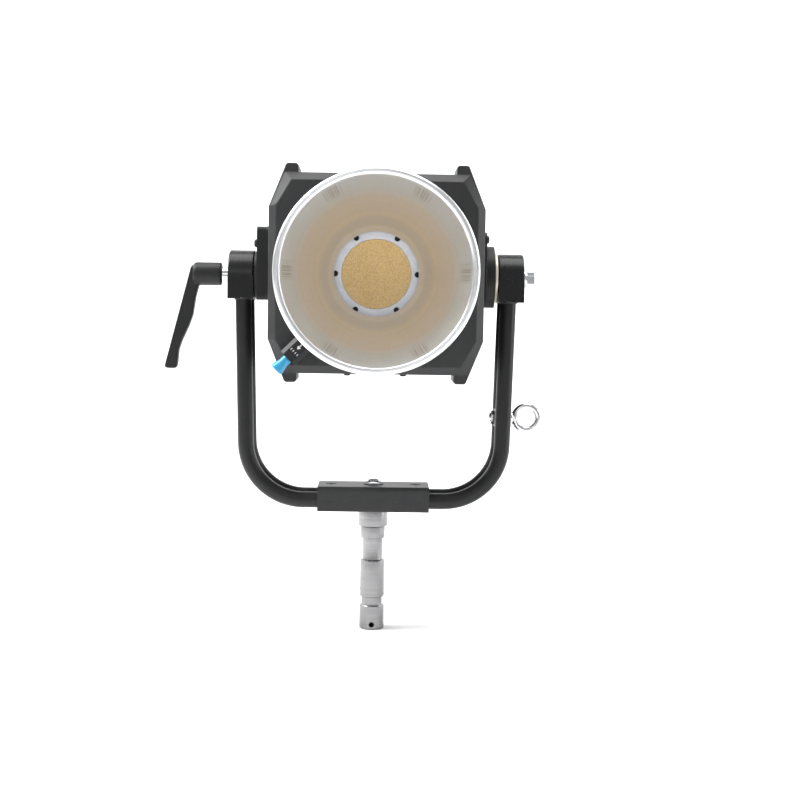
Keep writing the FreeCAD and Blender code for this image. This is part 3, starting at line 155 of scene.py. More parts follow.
def eased(points, reach, steps=4, closed=True):
    """Each corner C becomes the curve A(1-t)^2 + 2Ct(1-t) + Bt^2 between the points A and B
    that lie reach away from it on its two sides, or 0.45 of a side where that is less."""
    points = np.asarray(points, float)
    back = np.roll(points, 1, axis=0) - points
    ahead = np.roll(points, -1, axis=0) - points
    reach = np.broadcast_to(np.asarray(reach, float), (len(points),))[:, None]
    back_length = np.maximum(np.linalg.norm(back, axis=1, keepdims=True), 1e-9)
    ahead_length = np.maximum(np.linalg.norm(ahead, axis=1, keepdims=True), 1e-9)
    start = points + back / back_length * np.minimum(reach, 0.45 * back_length)
    end = points + ahead / ahead_length * np.minimum(reach, 0.45 * ahead_length)
    t = np.linspace(0, 1, steps)[None, :, None]
    curve = (start[:, None] * (1 - t) ** 2 + 2 * points[:, None] * t * (1 - t)
             + end[:, None] * t ** 2)
    if closed:
        return curve.reshape(-1, points.shape[1])
    return np.concatenate([points[:1], curve[1:-1].reshape(-1, points.shape[1]), points[-1:]])


def full_turn(steps):
    """Angles of equal steps once round, in radians."""
    return np.arange(steps) * 2 * math.pi / steps


def grid_faces(rows, columns, close_rows=False, close_columns=True):
    """Quads between neighbours of a grid whose point (i, j) has number i * columns + j."""
    i = np.arange(rows if close_rows else rows - 1)[:, None]
    j = np.arange(columns if close_columns else columns - 1)[None, :]
    next_i = (i + 1) % rows
    next_j = (j + 1) % columns
    quads = np.stack(np.broadcast_arrays(i * columns + j, i * columns + next_j,
                                         next_i * columns + next_j, next_i * columns + j), -1)
    return quads.reshape(-1, 4)


def surface(grid, close_rows=False, close_columns=True):
    """Points and faces of a grid of points."""
    rows, columns = grid.shape[:2]
    return grid.reshape(-1, 3), grid_faces(rows, columns, close_rows, close_columns).tolist()


def end_faces(points, count):
    """Faces over the first and the last row of a grid whose rows have count points."""
    last = len(points) - count
    return [list(range(count)), list(range(last, last + count))]


def lathe(profile, at=(0, 0, 0), axis="Z", segments=96, closed=False):
    """P(u, v) = at + r(u) (cos v E1 + sin v E2) + d(u) E3, where the profile gives r and d, and
    E3 is the axis. A closed profile makes a ring; an open one starts and ends on the axis."""
    profile = np.asarray(profile, float)
    e1, e2, e3 = (np.array(e, float) for e in AXES[axis])
    v = full_turn(segments)
    around = np.cos(v)[:, None] * e1 + np.sin(v)[:, None] * e2
    grid = (np.asarray(at, float) + profile[:, 0][:, None, None] * around[None]
            + profile[:, 1][:, None, None] * e3)
    return surface(grid, close_rows=closed)


def tube(path, radius, segments=32, side=(0, 1, 0), closed=False):
    """P(u, v) = C(u) + r(u) (cos v S + sin v T(u) x S), where C is the path, T its direction
    and S a fixed side that T never meets."""
    path = np.asarray(path, float)
    if closed:
        direction = np.roll(path, -1, axis=0) - np.roll(path, 1, axis=0)
    else:
        direction = np.gradient(path, axis=0)
    direction /= np.linalg.norm(direction, axis=1, keepdims=True)
    side = np.asarray(side, float)
    first = side - direction * (direction @ side)[:, None]
    first /= np.linalg.norm(first, axis=1, keepdims=True)
    second = np.cross(direction, first)
    v = full_turn(segments)
    radius = np.broadcast_to(radius, (len(path),))[:, None, None]
    grid = path[:, None] + radius * (np.cos(v)[None, :, None] * first[:, None]
                                     + np.sin(v)[None, :, None] * second[:, None])
    points, faces = surface(grid, close_rows=closed)
    if not closed:
        faces += end_faces(points, segments)
    return points, faces


def prism(outline, levels, to_space):
    """P(u, k) = outline(u) moved inwards by inset k, at height k, for each (inset, height);
    to_space turns the flat points and their heights into points in space."""
    outline = np.asarray(outline, float)
    edge = np.roll(outline, -1, axis=0) - outline
    edge /= np.linalg.norm(edge, axis=1, keepdims=True)
    normal = np.stack([-edge[:, 1], edge[:, 0]], -1)
    before = np.roll(normal, 1, axis=0)
    inward = (normal + before) / (1 + np.sum(normal * before, axis=1, keepdims=True))
    levels = np.asarray(levels, float)
    flat = outline[None] + levels[:, 0][:, None, None] * inward[None]
    height = np.broadcast_to(levels[:, 1][:, None], flat.shape[:2])
    points, faces = surface(to_space(flat, height))
    return points, faces + end_faces(points, len(outline))


def joined(*shapes):
    """Several shapes as one list of points and faces."""
    points = []
    faces = []
    count = 0
    for shape_points, shape_faces in shapes:
        faces += [[number + count for number in face] for face in shape_faces]
        points.append(shape_points)
        count += len(shape_points)
    return np.concatenate(points), faces


def polar(radius, angle, along):
    """Points at an angle and a radius from the optical axis, along millimetres ahead of the
    tilt axis."""
    return np.stack(np.broadcast_arrays(radius * np.cos(angle), -along,
                                        OPTICAL + radius * np.sin(angle)), -1)


# ------------------------------------------------------------------ pieces

def tidy_mesh(mesh, sharp_angle):
    """Merges doubles, closes poles, turns faces outwards and marks sharp edges."""
    work = bmesh.new()
    work.from_mesh(mesh)
    bmesh.ops.remove_doubles(work, verts=work.verts, dist=2e-7)
    bmesh.ops.dissolve_degenerate(work, edges=work.edges, dist=1e-8)
    bmesh.ops.recalc_face_normals(work, faces=work.faces)
    work.to_mesh(mesh)
    work.free()
    mesh.polygons.foreach_set("use_smooth", np.ones(len(mesh.polygons), bool))
    mesh.set_sharp_from_angle(angle=math.radians(sharp_angle))


def settle(piece, *nodes, material=None):
    """Puts a piece on the body of the first solid part that it stands for."""
    slot = SLOT_OF[nodes[0]]
    piece.data.materials.clear()
    piece.data.materials.append(material or finish(slot))
    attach(piece, BODY_OF[nodes[0]])
    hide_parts(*nodes)
    return piece


def new_object(name, shape, sharp_angle=32):
    """A mesh object at the origin from points in millimetres and faces."""
    points, faces = shape
    mesh = bpy.data.meshes.new(name)
    mesh.from_pydata((points * MM).tolist(), [], faces)
    tidy_mesh(mesh, sharp_angle)
    piece = bpy.data.objects.new(name, mesh)
    bpy.context.scene.collection.objects.link(piece)
    return piece


def new_piece(name, shape, *nodes, material=None, sharp_angle=32):
    """A finished piece that stands for one or more solid parts."""
    return settle(new_object(name, shape, sharp_angle), *nodes, material=material)


def new_detail(name, shape, near, slot, material=None, sharp_angle=32):
    """A small extra piece that rides with the solid part near it and hides none."""
    piece = new_object(name, shape, sharp_angle)
    piece.data.materials.append(material or finish(slot))
    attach(piece, BODY_OF[near])
    return piece


def refined(node, name, bevel, segments=3, material=None, angle=32, pierced=False):
    """A merged copy of a solid part with its edges rounded. Flat faces are joined into one, but
    not on a part pierced by rows of slots, whose faces have to stay in pieces."""
    mesh = frame["nodes"][node].data.copy()
    mesh.name = name
    work = bmesh.new()
    work.from_mesh(mesh)
    bmesh.ops.remove_doubles(work, verts=work.verts, dist=2e-6)
    if not pierced:
        bmesh.ops.dissolve_limit(work, angle_limit=math.radians(0.4), verts=work.verts,
                                 edges=work.edges)
    work.to_mesh(mesh)
    work.free()
    mesh.polygons.foreach_set("use_smooth", np.full(len(mesh.polygons), not pierced))
    mesh.set_sharp_from_angle(angle=math.radians(angle))
    piece = bpy.data.objects.new(name, mesh)
    bpy.context.scene.collection.objects.link(piece)
    rounding = piece.modifiers.new("Rounded edges", "BEVEL")
    rounding.width = bevel
    rounding.segments = segments
    rounding.limit_method = "ANGLE"
    rounding.angle_limit = math.radians(angle)
    rounding.miter_outer = "MITER_ARC"
    if not pierced:
        rounding.harden_normals = True
        piece.modifiers.new("Even shading", "WEIGHTED_NORMAL").keep_sharp = True
    return settle(piece, node, material=material)


def apply_modifiers(piece):
    """Replaces a piece's mesh by what its modifiers make of it."""
    graph = bpy.context.evaluated_depsgraph_get()
    made = bpy.data.meshes.new_from_object(piece.evaluated_get(graph))
    piece.modifiers.clear()
    piece.data = made


def drill(piece, cutter):
    """Takes a cutter's shape out of a piece and removes the cutter."""
    hole = piece.modifiers.new("Hole", "BOOLEAN")
    hole.object = cutter
    hole.solver = "EXACT"
    bpy.context.view_layer.update()
    apply_modifiers(piece)
    bpy.data.objects.remove(cutter)


# ------------------------------------------------------------------ node groups

class Graph:
    """Adds nodes to one node tree and joins them."""

    def __init__(self, tree):
        self.tree = tree

    def feed(self, socket, value):
        """Joins a socket to another one, or gives it a value."""
        if isinstance(value, bpy.types.NodeSocket):
            self.tree.links.new(value, socket)
        else:
            socket.default_value = value

    def node(self, kind, inputs=None, **settings):
        """A new shader node; inputs maps socket names or numbers to values or sockets."""
        node = self.tree.nodes.new("ShaderNode" + kind)
        for key, value in settings.items():
            setattr(node, key, value)
        for key, value in (inputs or {}).items():
            self.feed(node.inputs[key], value)
        return node

    def math(self, operation, first, second=0.0, clamp=False):
        """Result of one sum."""
        node = self.node("Math", {0: first, 1: second}, operation=operation, use_clamp=clamp)
        return node.outputs[0]

    def spread(self, value, low, high, to_low=0.0, to_high=1.0):
        """A value carried from one range to another, and held inside it."""
        node = self.node("MapRange", {"Value": value, "From Min": low, "From Max": high,
                                      "To Min": to_low, "To Max": to_high})
        return node.outputs["Result"]

    def mix(self, factor, first, second):
        """A mix of two colours."""
        node = self.node("Mix", {0: factor, 6: first, 7: second}, data_type="RGBA")
        return node.outputs[2]

    def effect(self, name, **inputs):
        """One of the shared node groups, with its own values."""
        node = self.tree.nodes.new("ShaderNodeGroup")
        node.node_tree = effect_tree(name)
        for key, value in inputs.items():
            self.feed(node.inputs[key.replace("_", " ")], value)
        return node.outputs

    def place(self):
        """Object coordinates, in metres."""
        return self.node("TexCoord").outputs["Object"]

    def place_around(self):
        """Direction outwards, for the surroundings."""
        return self.node("TexCoord").outputs["Generated"]

    def bump(self, height, distance, strength):
        """A normal from a height; distance is in metres."""
        inputs = {"Height": height, "Distance": distance, "Strength": strength}
        return self.node("Bump", inputs).outputs["Normal"]

    def drive(self, shader, **values):
        """Joins results to a shader's sockets, such as Base_Color, Roughness and Normal."""
        for key, value in values.items():
            self.feed(shader.inputs[key.replace("_", " ")], value)


def fine_grain(graph, given, give):
    """Speckled coating: noise over coarser noise."""
    fine = graph.node("TexNoise", {"Vector": given["Vector"], "Scale": given["Scale"],
                                   "Detail": 3.0, "Roughness": 0.55})
    coarse = graph.node("TexNoise", {"Vector": given["Vector"], "Detail": 2.0,
                                     "Scale": graph.math("MULTIPLY", given["Scale"], 0.22)})
    height = graph.math("ADD", graph.math("MULTIPLY", fine.outputs["Fac"], 0.7),
                        graph.math("MULTIPLY", coarse.outputs["Fac"], 0.3))
    graph.feed(give["Height"], height)
    graph.feed(give["Speck"], graph.spread(fine.outputs["Fac"], 0.60, 0.72))


def smudges(graph, given, give):
    """Handling marks: broad soft patches and finer streaky ones."""
    broad = graph.node("TexNoise", {"Vector": given["Vector"], "Scale": given["Scale"],
                                    "Detail": 4.0, "Distortion": 0.6})
    fine = graph.node("TexNoise", {"Vector": given["Vector"], "Detail": 6.0,
                                   "Scale": graph.math("MULTIPLY", given["Scale"], 5.0)})
    patch = graph.math("ADD", graph.math("MULTIPLY", broad.outputs["Fac"], 0.65),
                       graph.math("MULTIPLY", fine.outputs["Fac"], 0.35))
    centred = graph.math("SUBTRACT", patch, 0.5)
    graph.feed(give["Change"], graph.math("MULTIPLY", centred, given["Amount"]))
    graph.feed(give["Mask"], graph.spread(patch, 0.45, 0.65))


def turning_lines(graph, given, give):
    """Tool marks: noise of one dimension, the distance along or out from the axis."""
    along = graph.math("MULTIPLY", given["Along"], given["Lines per metre"])
    fine = graph.node("TexNoise", {"W": along, "Scale": 1.0, "Detail": 2.0},
                      noise_dimensions="1D")
    wide = graph.node("TexNoise", {"W": graph.math("MULTIPLY", along, 0.13), "Scale": 1.0,
                                   "Detail": 1.0}, noise_dimensions="1D")
    graph.feed(give["Height"], fine.outputs["Fac"])
    graph.feed(give["Band"], graph.spread(wide.outputs["Fac"], 0.3, 0.7))


def edge_wear(graph, given, give):
    """Bright wear along edges, where a rounded normal leaves the true one, broken by noise."""
    soft = graph.node("Bevel", {"Radius": 0.0009}, samples=4).outputs["Normal"]
    true = graph.node("NewGeometry").outputs["Normal"]
    same = graph.node("VectorMath", {0: soft, 1: true}, operation="DOT_PRODUCT").outputs["Value"]
    edge = graph.spread(same, 0.985, 0.85)
    broken = graph.node("TexNoise", {"Vector": given["Vector"], "Scale": 260.0, "Detail": 5.0})
    patchy = graph.spread(broken.outputs["Fac"], 0.42, 0.62)
    graph.feed(give["Mask"], graph.math(
        "MULTIPLY", graph.math("MULTIPLY", edge, patchy), given["Amount"], clamp=True))


def dust(graph, given, give):
    """Dust that settles on what faces up, thicker in patches."""
    up = graph.node("SeparateXYZ", {0: graph.node("NewGeometry").outputs["Normal"]}).outputs[2]
    facing = graph.spread(up, 0.35, 1.0)
    patch = graph.node("TexNoise", {"Vector": given["Vector"], "Scale": 55.0, "Detail": 5.0})
    graph.feed(give["Mask"], graph.math("MULTIPLY", graph.math(
        "MULTIPLY", facing, graph.spread(patch.outputs["Fac"], 0.35, 0.7)), given["Amount"]))


EFFECTS = {
    "Fine grain": (fine_grain, (("Vector", "Vector", None), ("Scale", "Float", 600.0)),
                   ("Height", "Speck")),
    "Smudges": (smudges, (("Vector", "Vector", None), ("Scale", "Float", 18.0),
                          ("Amount", "Float", 0.2)), ("Change", "Mask")),
    "Turning lines": (turning_lines, (("Along", "Float", 0.0),
                                      ("Lines per metre", "Float", 2500.0)),
                      ("Height", "Band")),
    "Edge wear": (edge_wear, (("Vector", "Vector", None), ("Amount", "Float", 0.5)), ("Mask",)),
    "Dust": (dust, (("Vector", "Vector", None), ("Amount", "Float", 0.2)), ("Mask",)),
}


def effect_tree(name):
    """The node group of an effect, made the first time it is asked for."""
    if name in bpy.data.node_groups:
        return bpy.data.node_groups[name]
    fill, inputs, outputs = EFFECTS[name]
    tree = bpy.data.node_groups.new(name, "ShaderNodeTree")
    for socket, kind, default in inputs:
        made = tree.interface.new_socket(socket, in_out="INPUT", socket_type="NodeSocket" + kind)
        if default is not None:
            made.default_value = default
    for socket in outputs:
        tree.interface.new_socket(socket, in_out="OUTPUT", socket_type="NodeSocketFloat")
    fill(Graph(tree), tree.nodes.new("NodeGroupInput").outputs,
         tree.nodes.new("NodeGroupOutput").inputs)
    return tree


# ------------------------------------------------------------------ materials

def new_material(name, **constants):
    """A material, its graph and its shader with the shader's constant values set."""
    material = bpy.data.materials.new(name)
    material.use_nodes = True
    shader = material.node_tree.nodes["Principled BSDF"]
    for key, value in constants.items():
        shader.inputs[key.replace("_", " ")].default_value = value
    return material, Graph(material.node_tree), shader


def shade(colour, factor):
    """A colour made lighter or darker, with full alpha."""
    return tuple(min(1.0, channel * factor) for channel in colour[:3]) + (1.0,)


def coated(name, colour, roughness, grain, depth, wear=0.35, worn=(0.32, 0.32, 0.33, 1)):
    """Powder coat or paint on metal: fine bumps, uneven gloss, worn edges and a little dust."""
    material, graph, shader = new_material(name, Specular_IOR_Level=0.32)
    place = graph.place()
    coat = graph.effect("Fine grain", Vector=place, Scale=grain)
    marks = graph.effect("Smudges", Vector=place, Scale=16.0, Amount=0.16)
    worn_mask = graph.effect("Edge wear", Vector=place, Amount=wear)["Mask"]
    dusty = graph.effect("Dust", Vector=place, Amount=0.06)["Mask"]
    tone = graph.mix(marks["Mask"], shade(colour, 0.92), shade(colour, 1.10))
    tone = graph.mix(graph.math("MULTIPLY", coat["Speck"], 0.25), tone, shade(colour, 1.7))
    tone = graph.mix(dusty, tone, (0.30, 0.29, 0.28, 1))
    rough = graph.math("ADD", roughness, marks["Change"])
    graph.drive(shader, Base_Color=graph.mix(worn_mask, tone, worn),
                Roughness=graph.math("ADD", rough, graph.math("MULTIPLY", dusty, 0.3)),
                Metallic=graph.math("MULTIPLY", worn_mask, 0.6),
                Normal=graph.bump(coat["Height"], depth, 0.8))
    return material


def turned_metal(name, colour, roughness, axis, lines=2600.0, depth=0.000004, metallic=1.0,
                 tarnish=0.5):
    """Turned metal: fine tool marks along an axis, soft bands of gloss, faint handling marks."""
    material, graph, shader = new_material(name, Metallic=metallic)
    place = graph.place()
    along = graph.node("SeparateXYZ", {0: place}).outputs["XYZ".index(axis)]
    cuts = graph.effect("Turning lines", Along=along, Lines_per_metre=lines)
    marks = graph.effect("Smudges", Vector=place, Scale=30.0, Amount=0.14)
    tone = graph.mix(graph.math("MULTIPLY", marks["Mask"], tarnish), shade(colour, 1.0),
                     shade(colour, 0.80))
    tone = graph.mix(graph.math("MULTIPLY", cuts["Band"], 0.5), tone, shade(colour, 0.92))
    rough = graph.math("ADD", graph.math("ADD", roughness, marks["Change"]),
                       graph.math("MULTIPLY", cuts["Band"], 0.08))
    graph.drive(shader, Base_Color=tone, Roughness=rough,
                Normal=graph.bump(cuts["Height"], depth, 0.6))
    return material


def bowl_painted_reflection_zones(graph, ahead, colour):
    """Painted reflection: zones of tone from the neck to the mouth that stand in for the bowl's
    reflections of the lamp and its surroundings. Each zone takes over between two distances ahead
    of the tilt axis, in metres, and has shares of the bowl's red, green and blue."""
    red, green, blue = colour[:3]
    tone = (red * 0.95, green, blue * 1.08, 1)
    zones = (((0.114, 0.119), (0.82, 0.88, 0.98)),
             ((0.129, 0.137), (0.94, 0.95, 0.97)),
             ((0.180, 0.192), (0.88, 0.99, 1.08)))
    for (start, end), (red_share, green_share, blue_share) in zones:
        tone = graph.mix(graph.spread(ahead, start, end), tone,
                         (red * red_share, green * green_share, blue * blue_share, 1))
    return tone


def bowl_painted_hole_reflections(graph, ahead, angle):
    """Mask of six painted reflections of the retainer's holes: soft bundles of fine streaks in a
    band just inside the mouth. cos 6a picks the bundles, and noise of one dimension, the angle a,
    breaks them into streaks."""
    fine = graph.node("TexNoise", {"W": graph.math("MULTIPLY", angle, 45.0), "Scale": 1.0,
                                   "Detail": 2.0}, noise_dimensions="1D").outputs["Fac"]
    hole_reflection = graph.spread(graph.math("COSINE", graph.math("MULTIPLY", angle, 6.0)), 0.74, 0.98)
    near_mouth = graph.math("MULTIPLY", graph.spread(ahead, 0.193, 0.205),
                            graph.spread(ahead, 0.2265, 0.219))
    return graph.math("MULTIPLY", graph.math("MULTIPLY", hole_reflection, near_mouth),
                      graph.spread(fine, 0.38, 0.60))


def bowl_outside(graph, angle):
    """Mask of what faces away from the optical axis: the normal's part along the radius."""
    facing = graph.node("SeparateXYZ", {0: graph.node("NewGeometry").outputs["Normal"]}).outputs
    outwards = graph.math("ADD", graph.math("MULTIPLY", facing[0], graph.math("COSINE", angle)),
                          graph.math("MULTIPLY", facing[2], graph.math("SINE", angle)))
    return graph.spread(outwards, 0.0, 0.1)


def bowl_streaks(graph, y, angle):
    """Noise over the cylinder (9 sin a, 6 y, 9 cos a), so that it closes after a full turn."""
    around = graph.node("CombineXYZ", {
        0: graph.math("MULTIPLY", graph.math("SINE", angle), 9.0),
        1: graph.math("MULTIPLY", y, 6.0),
        2: graph.math("MULTIPLY", graph.math("COSINE", angle), 9.0)}).outputs[0]
    return graph.node("TexNoise", {"Vector": around, "Scale": 3.2, "Detail": 5.0,
                                   "Roughness": 0.6}).outputs["Fac"]


def spun_bowl(name, colour):
    """Satin spun aluminium: zones of painted reflection from the neck to the mouth, rings along
    the axis, faint streaks, and six darker painted reflections of the retainer's holes near the
    mouth. Its outside is darkened with painted shade so that it reflects the lamps less."""
    material, graph, shader = new_material(name, Metallic=1.0)
    place = graph.place()
    x, y, z = graph.node("SeparateXYZ", {0: place}).outputs
    ahead = graph.math("MULTIPLY", y, -1.0)
    angle = graph.math("ARCTAN2", graph.math("SUBTRACT", z, OPTICAL * MM), x)
    rings = graph.effect("Turning lines", Along=y, Lines_per_metre=1500.0)
    marks = graph.effect("Smudges", Vector=place, Scale=14.0, Amount=0.10)
    streak = bowl_streaks(graph, y, angle)
    # Painted reflection: zones of tone along the axis that stand in for the bowl's reflections of
    # the lamp and its surroundings.
    tone = bowl_painted_reflection_zones(graph, ahead, colour)
    # The last layer is painted reflection: six darker patches near the mouth for the retainer's
    # holes.
    layers = ((rings["Band"], 0.4, 0.90), (graph.spread(streak, 0.42, 0.70), 0.14, 0.78),
              (bowl_painted_hole_reflections(graph, ahead, angle), 0.8, 0.55))
    for mask, strength, darker in layers:
        tone = graph.mix(graph.math("MULTIPLY", mask, strength), tone, shade(colour, darker))
    # Painted shade: the bowl's outside is darkened so that it reflects the lamps less.
    tone = graph.mix(bowl_outside(graph, angle), tone, shade(colour, 0.55))
    rough = graph.math("ADD", graph.math("ADD", 0.36, marks["Change"]),
                       graph.math("MULTIPLY", rings["Band"], 0.07))
    height = graph.math("ADD", rings["Height"], graph.math("MULTIPLY", streak, 0.3))
    graph.drive(shader, Base_Color=tone, Roughness=rough,
                Normal=graph.bump(height, 0.000010, 0.35))
    return material


def bright_metal(name, colour, roughness):
    """Chrome or polished metal: fine scratches and finger marks in the gloss."""
    material, graph, shader = new_material(name, Metallic=1.0)
    place = graph.place()
    marks = graph.effect("Smudges", Vector=place, Scale=45.0, Amount=0.10)
    scratches = graph.effect("Fine grain", Vector=place, Scale=1400.0)
    graph.drive(shader,
                Base_Color=graph.mix(marks["Mask"], shade(colour, 1.0), shade(colour, 0.90)),
                Roughness=graph.math("ADD", roughness, marks["Change"]),
                Normal=graph.bump(scratches["Height"], 0.000006, 0.4))
    return material


def moulded(name, colour, roughness, grain=500.0, depth=0.00003, lighter=1.15, coat=0.0):
    """Moulded plastic or rubber: fine texture, uneven gloss and paler worn edges."""
    material, graph, shader = new_material(name, Coat_Weight=coat, Coat_Roughness=0.2)
    place = graph.place()
    texture = graph.effect("Fine grain", Vector=place, Scale=grain)
    marks = graph.effect("Smudges", Vector=place, Scale=35.0, Amount=0.14)
    worn = graph.effect("Edge wear", Vector=place, Amount=0.3)["Mask"]
    tone = graph.mix(marks["Mask"], shade(colour, 0.93), shade(colour, lighter))
    graph.drive(shader, Base_Color=graph.mix(worn, tone, shade(colour, 1.6)),
                Roughness=graph.math("ADD", roughness, marks["Change"]),
                Normal=graph.bump(texture["Height"], depth, 0.7))
    return material


def phosphor(name, colour):
    """Phosphor gel: small glittering grains, each with a tone and a gloss of its own, under a
    faint paler cloud."""
    material, graph, shader = new_material(name, Coat_Weight=0.35, Coat_Roughness=0.12)
    place = graph.place()
    grains = graph.node("TexVoronoi", {"Vector": place, "Scale": 1700.0})
    grain_tone = graph.node("SeparateColor", {0: grains.outputs["Color"]}).outputs[0]
    cloud = graph.effect("Smudges", Vector=place, Scale=60.0, Amount=0.2)
    tone = graph.mix(graph.spread(grain_tone, 0.1, 0.95), shade(colour, 0.76), shade(colour, 1.20))
    tone = graph.mix(graph.math("MULTIPLY", cloud["Mask"], 0.14), tone, (0.90, 0.72, 0.44, 1))
    graph.drive(shader, Base_Color=tone,
                Roughness=graph.spread(grain_tone, 0.0, 1.0, 0.22, 0.6),
                Normal=graph.bump(grains.outputs["Distance"], 0.00006, 0.8))
    return material


def circuit_board(name):
    """Green solder mask with fine copper tracks and pale pads."""
    material, graph, shader = new_material(name, Coat_Weight=0.4, Coat_Roughness=0.15)
    place = graph.place()
    tracks = graph.node("TexBrick", {"Vector": place, "Scale": 260.0, "Mortar Size": 0.05,
                                     "Color1": (0.012, 0.10, 0.045, 1),
                                     "Color2": (0.016, 0.13, 0.06, 1),
                                     "Mortar": (0.05, 0.22, 0.10, 1)})
    pads = graph.node("TexVoronoi", {"Vector": place, "Scale": 240.0})
    pad = graph.spread(pads.outputs["Distance"], 0.16, 0.12)
    graph.drive(shader, Metallic=pad, Roughness=graph.spread(pad, 0.0, 1.0, 0.32, 0.25),
                Base_Color=graph.mix(pad, tracks.outputs["Color"], (0.62, 0.60, 0.55, 1)),
                Normal=graph.bump(tracks.outputs["Fac"], 0.00003, 0.5))
    return material


FINISHES = {
    "black_paint": lambda: coated("Black powder coat", colours().black, 0.36, 620.0, 0.00006),
    "black_block": lambda: coated("Black cast metal", (0.028, 0.028, 0.029), 0.44, 800.0, 0.00005,
                                  wear=0.16),
    "gloss_black": lambda: coated("Black gloss coat", (0.010, 0.010, 0.0105), 0.26, 620.0, 0.00003,
                                  wear=0.25),
    "grey_casing": lambda: coated("Grey powder coat", colours().casing, 0.46, 900.0, 0.00005,
                                  wear=0.22, worn=(0.20, 0.20, 0.21, 1)),
    "black_casing": lambda: coated("Black casting", (0.011, 0.011, 0.0115), 0.45, 700.0, 0.00005,
                                   wear=0.3, worn=(0.12, 0.12, 0.13, 1)),
    "steel": lambda: turned_metal("Turned steel", (0.30, 0.295, 0.298), 0.20, "Z"),
    "chrome": lambda: bright_metal("Chrome", (0.80, 0.80, 0.81), 0.10),
    "polished_aluminium": lambda: bright_metal("Polished rim", (0.95, 0.95, 0.95), 0.30),
    "spun_aluminium": lambda: spun_bowl("Spun aluminium", colours().bowl),
    "plain_aluminium": lambda: turned_metal("Milled aluminium", (0.72, 0.72, 0.73), 0.34, "Z",
                                            lines=1800.0),
    "brass": lambda: turned_metal("Brass", colours().brass, 0.42, "X", metallic=0.55,
                                  tarnish=0.8),
    "copper": lambda: turned_metal("Copper", (0.72, 0.36, 0.24), 0.30, "X", tarnish=0.8),
    "phosphor": lambda: phosphor("Phosphor", colours().phosphor),
    "white_plastic": lambda: moulded("White plastic", (0.90, 0.90, 0.90), 0.40, lighter=1.03),
    "blue_knob": lambda: moulded("Blue knob", colours().knob, 0.30, grain=800.0, coat=0.3),
    "black_plastic": lambda: moulded("Black plastic", (0.016, 0.016, 0.017), 0.48),
    "green_board": lambda: circuit_board("Circuit board"),
    "rubber": lambda: moulded("Grip rubber", (0.014, 0.014, 0.014), 0.62, grain=900.0,
                              depth=0.00006),
    "steel_x": lambda: turned_metal("Turned steel across", (0.60, 0.60, 0.60), 0.24, "X"),
    "print": lambda: moulded("Printed mark", (0.72, 0.72, 0.72), 0.5, lighter=1.02),
}
MADE = {}


def finish(name):
    """The material of a finish, made the first time it is asked for."""
    if name not in MADE:
        MADE[name] = FINISHES[name]()
    return MADE[name]


# ------------------------------------------------------------------ the pieces' shapes

def yoke_path(node, steps=28):
    """Middle line of a U tube: level run, arc of the bend radius, leaning rise, both sides.
    The arc is (x, z) = middle + bend (sin a, -cos a) for a from 0 to a right angle less the
    lean."""
    low, high = span(node)
    radius = (high[1] - low[1]) / 2
    across = (low[1] + high[1]) / 2
    bottom = low[2] + radius
    bend, reach_low, reach_high, into_hub = 65.0, 143.5, 148.0, 1.0
    lean = math.atan2(reach_high - reach_low, TILT - bottom - bend)
    start = reach_low - bend * math.tan(lean) - bend * math.tan((math.pi / 2 - lean) / 2)
    a = np.linspace(0, math.pi / 2 - lean, steps)
    arc_x = start + bend * np.sin(a)
    arc_z = bottom + bend - bend * np.cos(a)
    climb = float(span("yoke_hub_left")[0][2]) + into_hub - arc_z[-1]
    x = np.concatenate([[0, start / 2], arc_x, [arc_x[-1] + climb * math.tan(lean) / 2,
                                                arc_x[-1] + climb * math.tan(lean)]])
    z = np.concatenate([[bottom, bottom], arc_z, [arc_z[-1] + climb / 2, arc_z[-1] + climb]])
    x = np.concatenate([-x[:0:-1], x])
    z = np.concatenate([z[:0:-1], z])
    return np.stack([x, np.full_like(x, across), z], -1), radius


def weld_bead(side_x, across, tube_radius, bead):
    """Ring of weld where an upright tube meets the hub's flat foot: a circle round the tube
    whose thickness swells and shrinks a little."""
    swell, waves = 0.14, 18
    a = full_turn(96)
    foot = float(span("yoke_hub_left")[0][2])
    path = np.stack([side_x + tube_radius * np.cos(a), across + tube_radius * np.sin(a),
                     np.full_like(a, foot)], -1)
    return tube(path, bead * (1 + swell * np.sin(waves * a)), 10, side=(0, 0, 1), closed=True)


def add_yoke():
    """Twin tubes, hubs, weld beads, bushes and the safety eye."""
    s = sizes()
    for node in ("yoke_tube_front", "yoke_tube_rear"):
        path, radius = yoke_path(node)
        new_piece("arm_" + node[5:], tube(path, radius, 40), node)
        beads = [weld_bead(side * path[-1][0], path[0][1], radius, s.weld_radius / MM)
                 for side in (-1, 1)]
        new_detail("weld_" + node[5:], joined(*beads), node, "black_paint")
    for name in ("left", "right"):
        refined("yoke_hub_" + name, "hub_" + name, 0.0005, material=finish("gloss_black"))
    refined("hub_bushes", "bronze_bushes", s.small_bevel, material=finish("brass"))
    refined("eye_boss", "eye_boss_block", 0.0012)
    add_safety_eye()


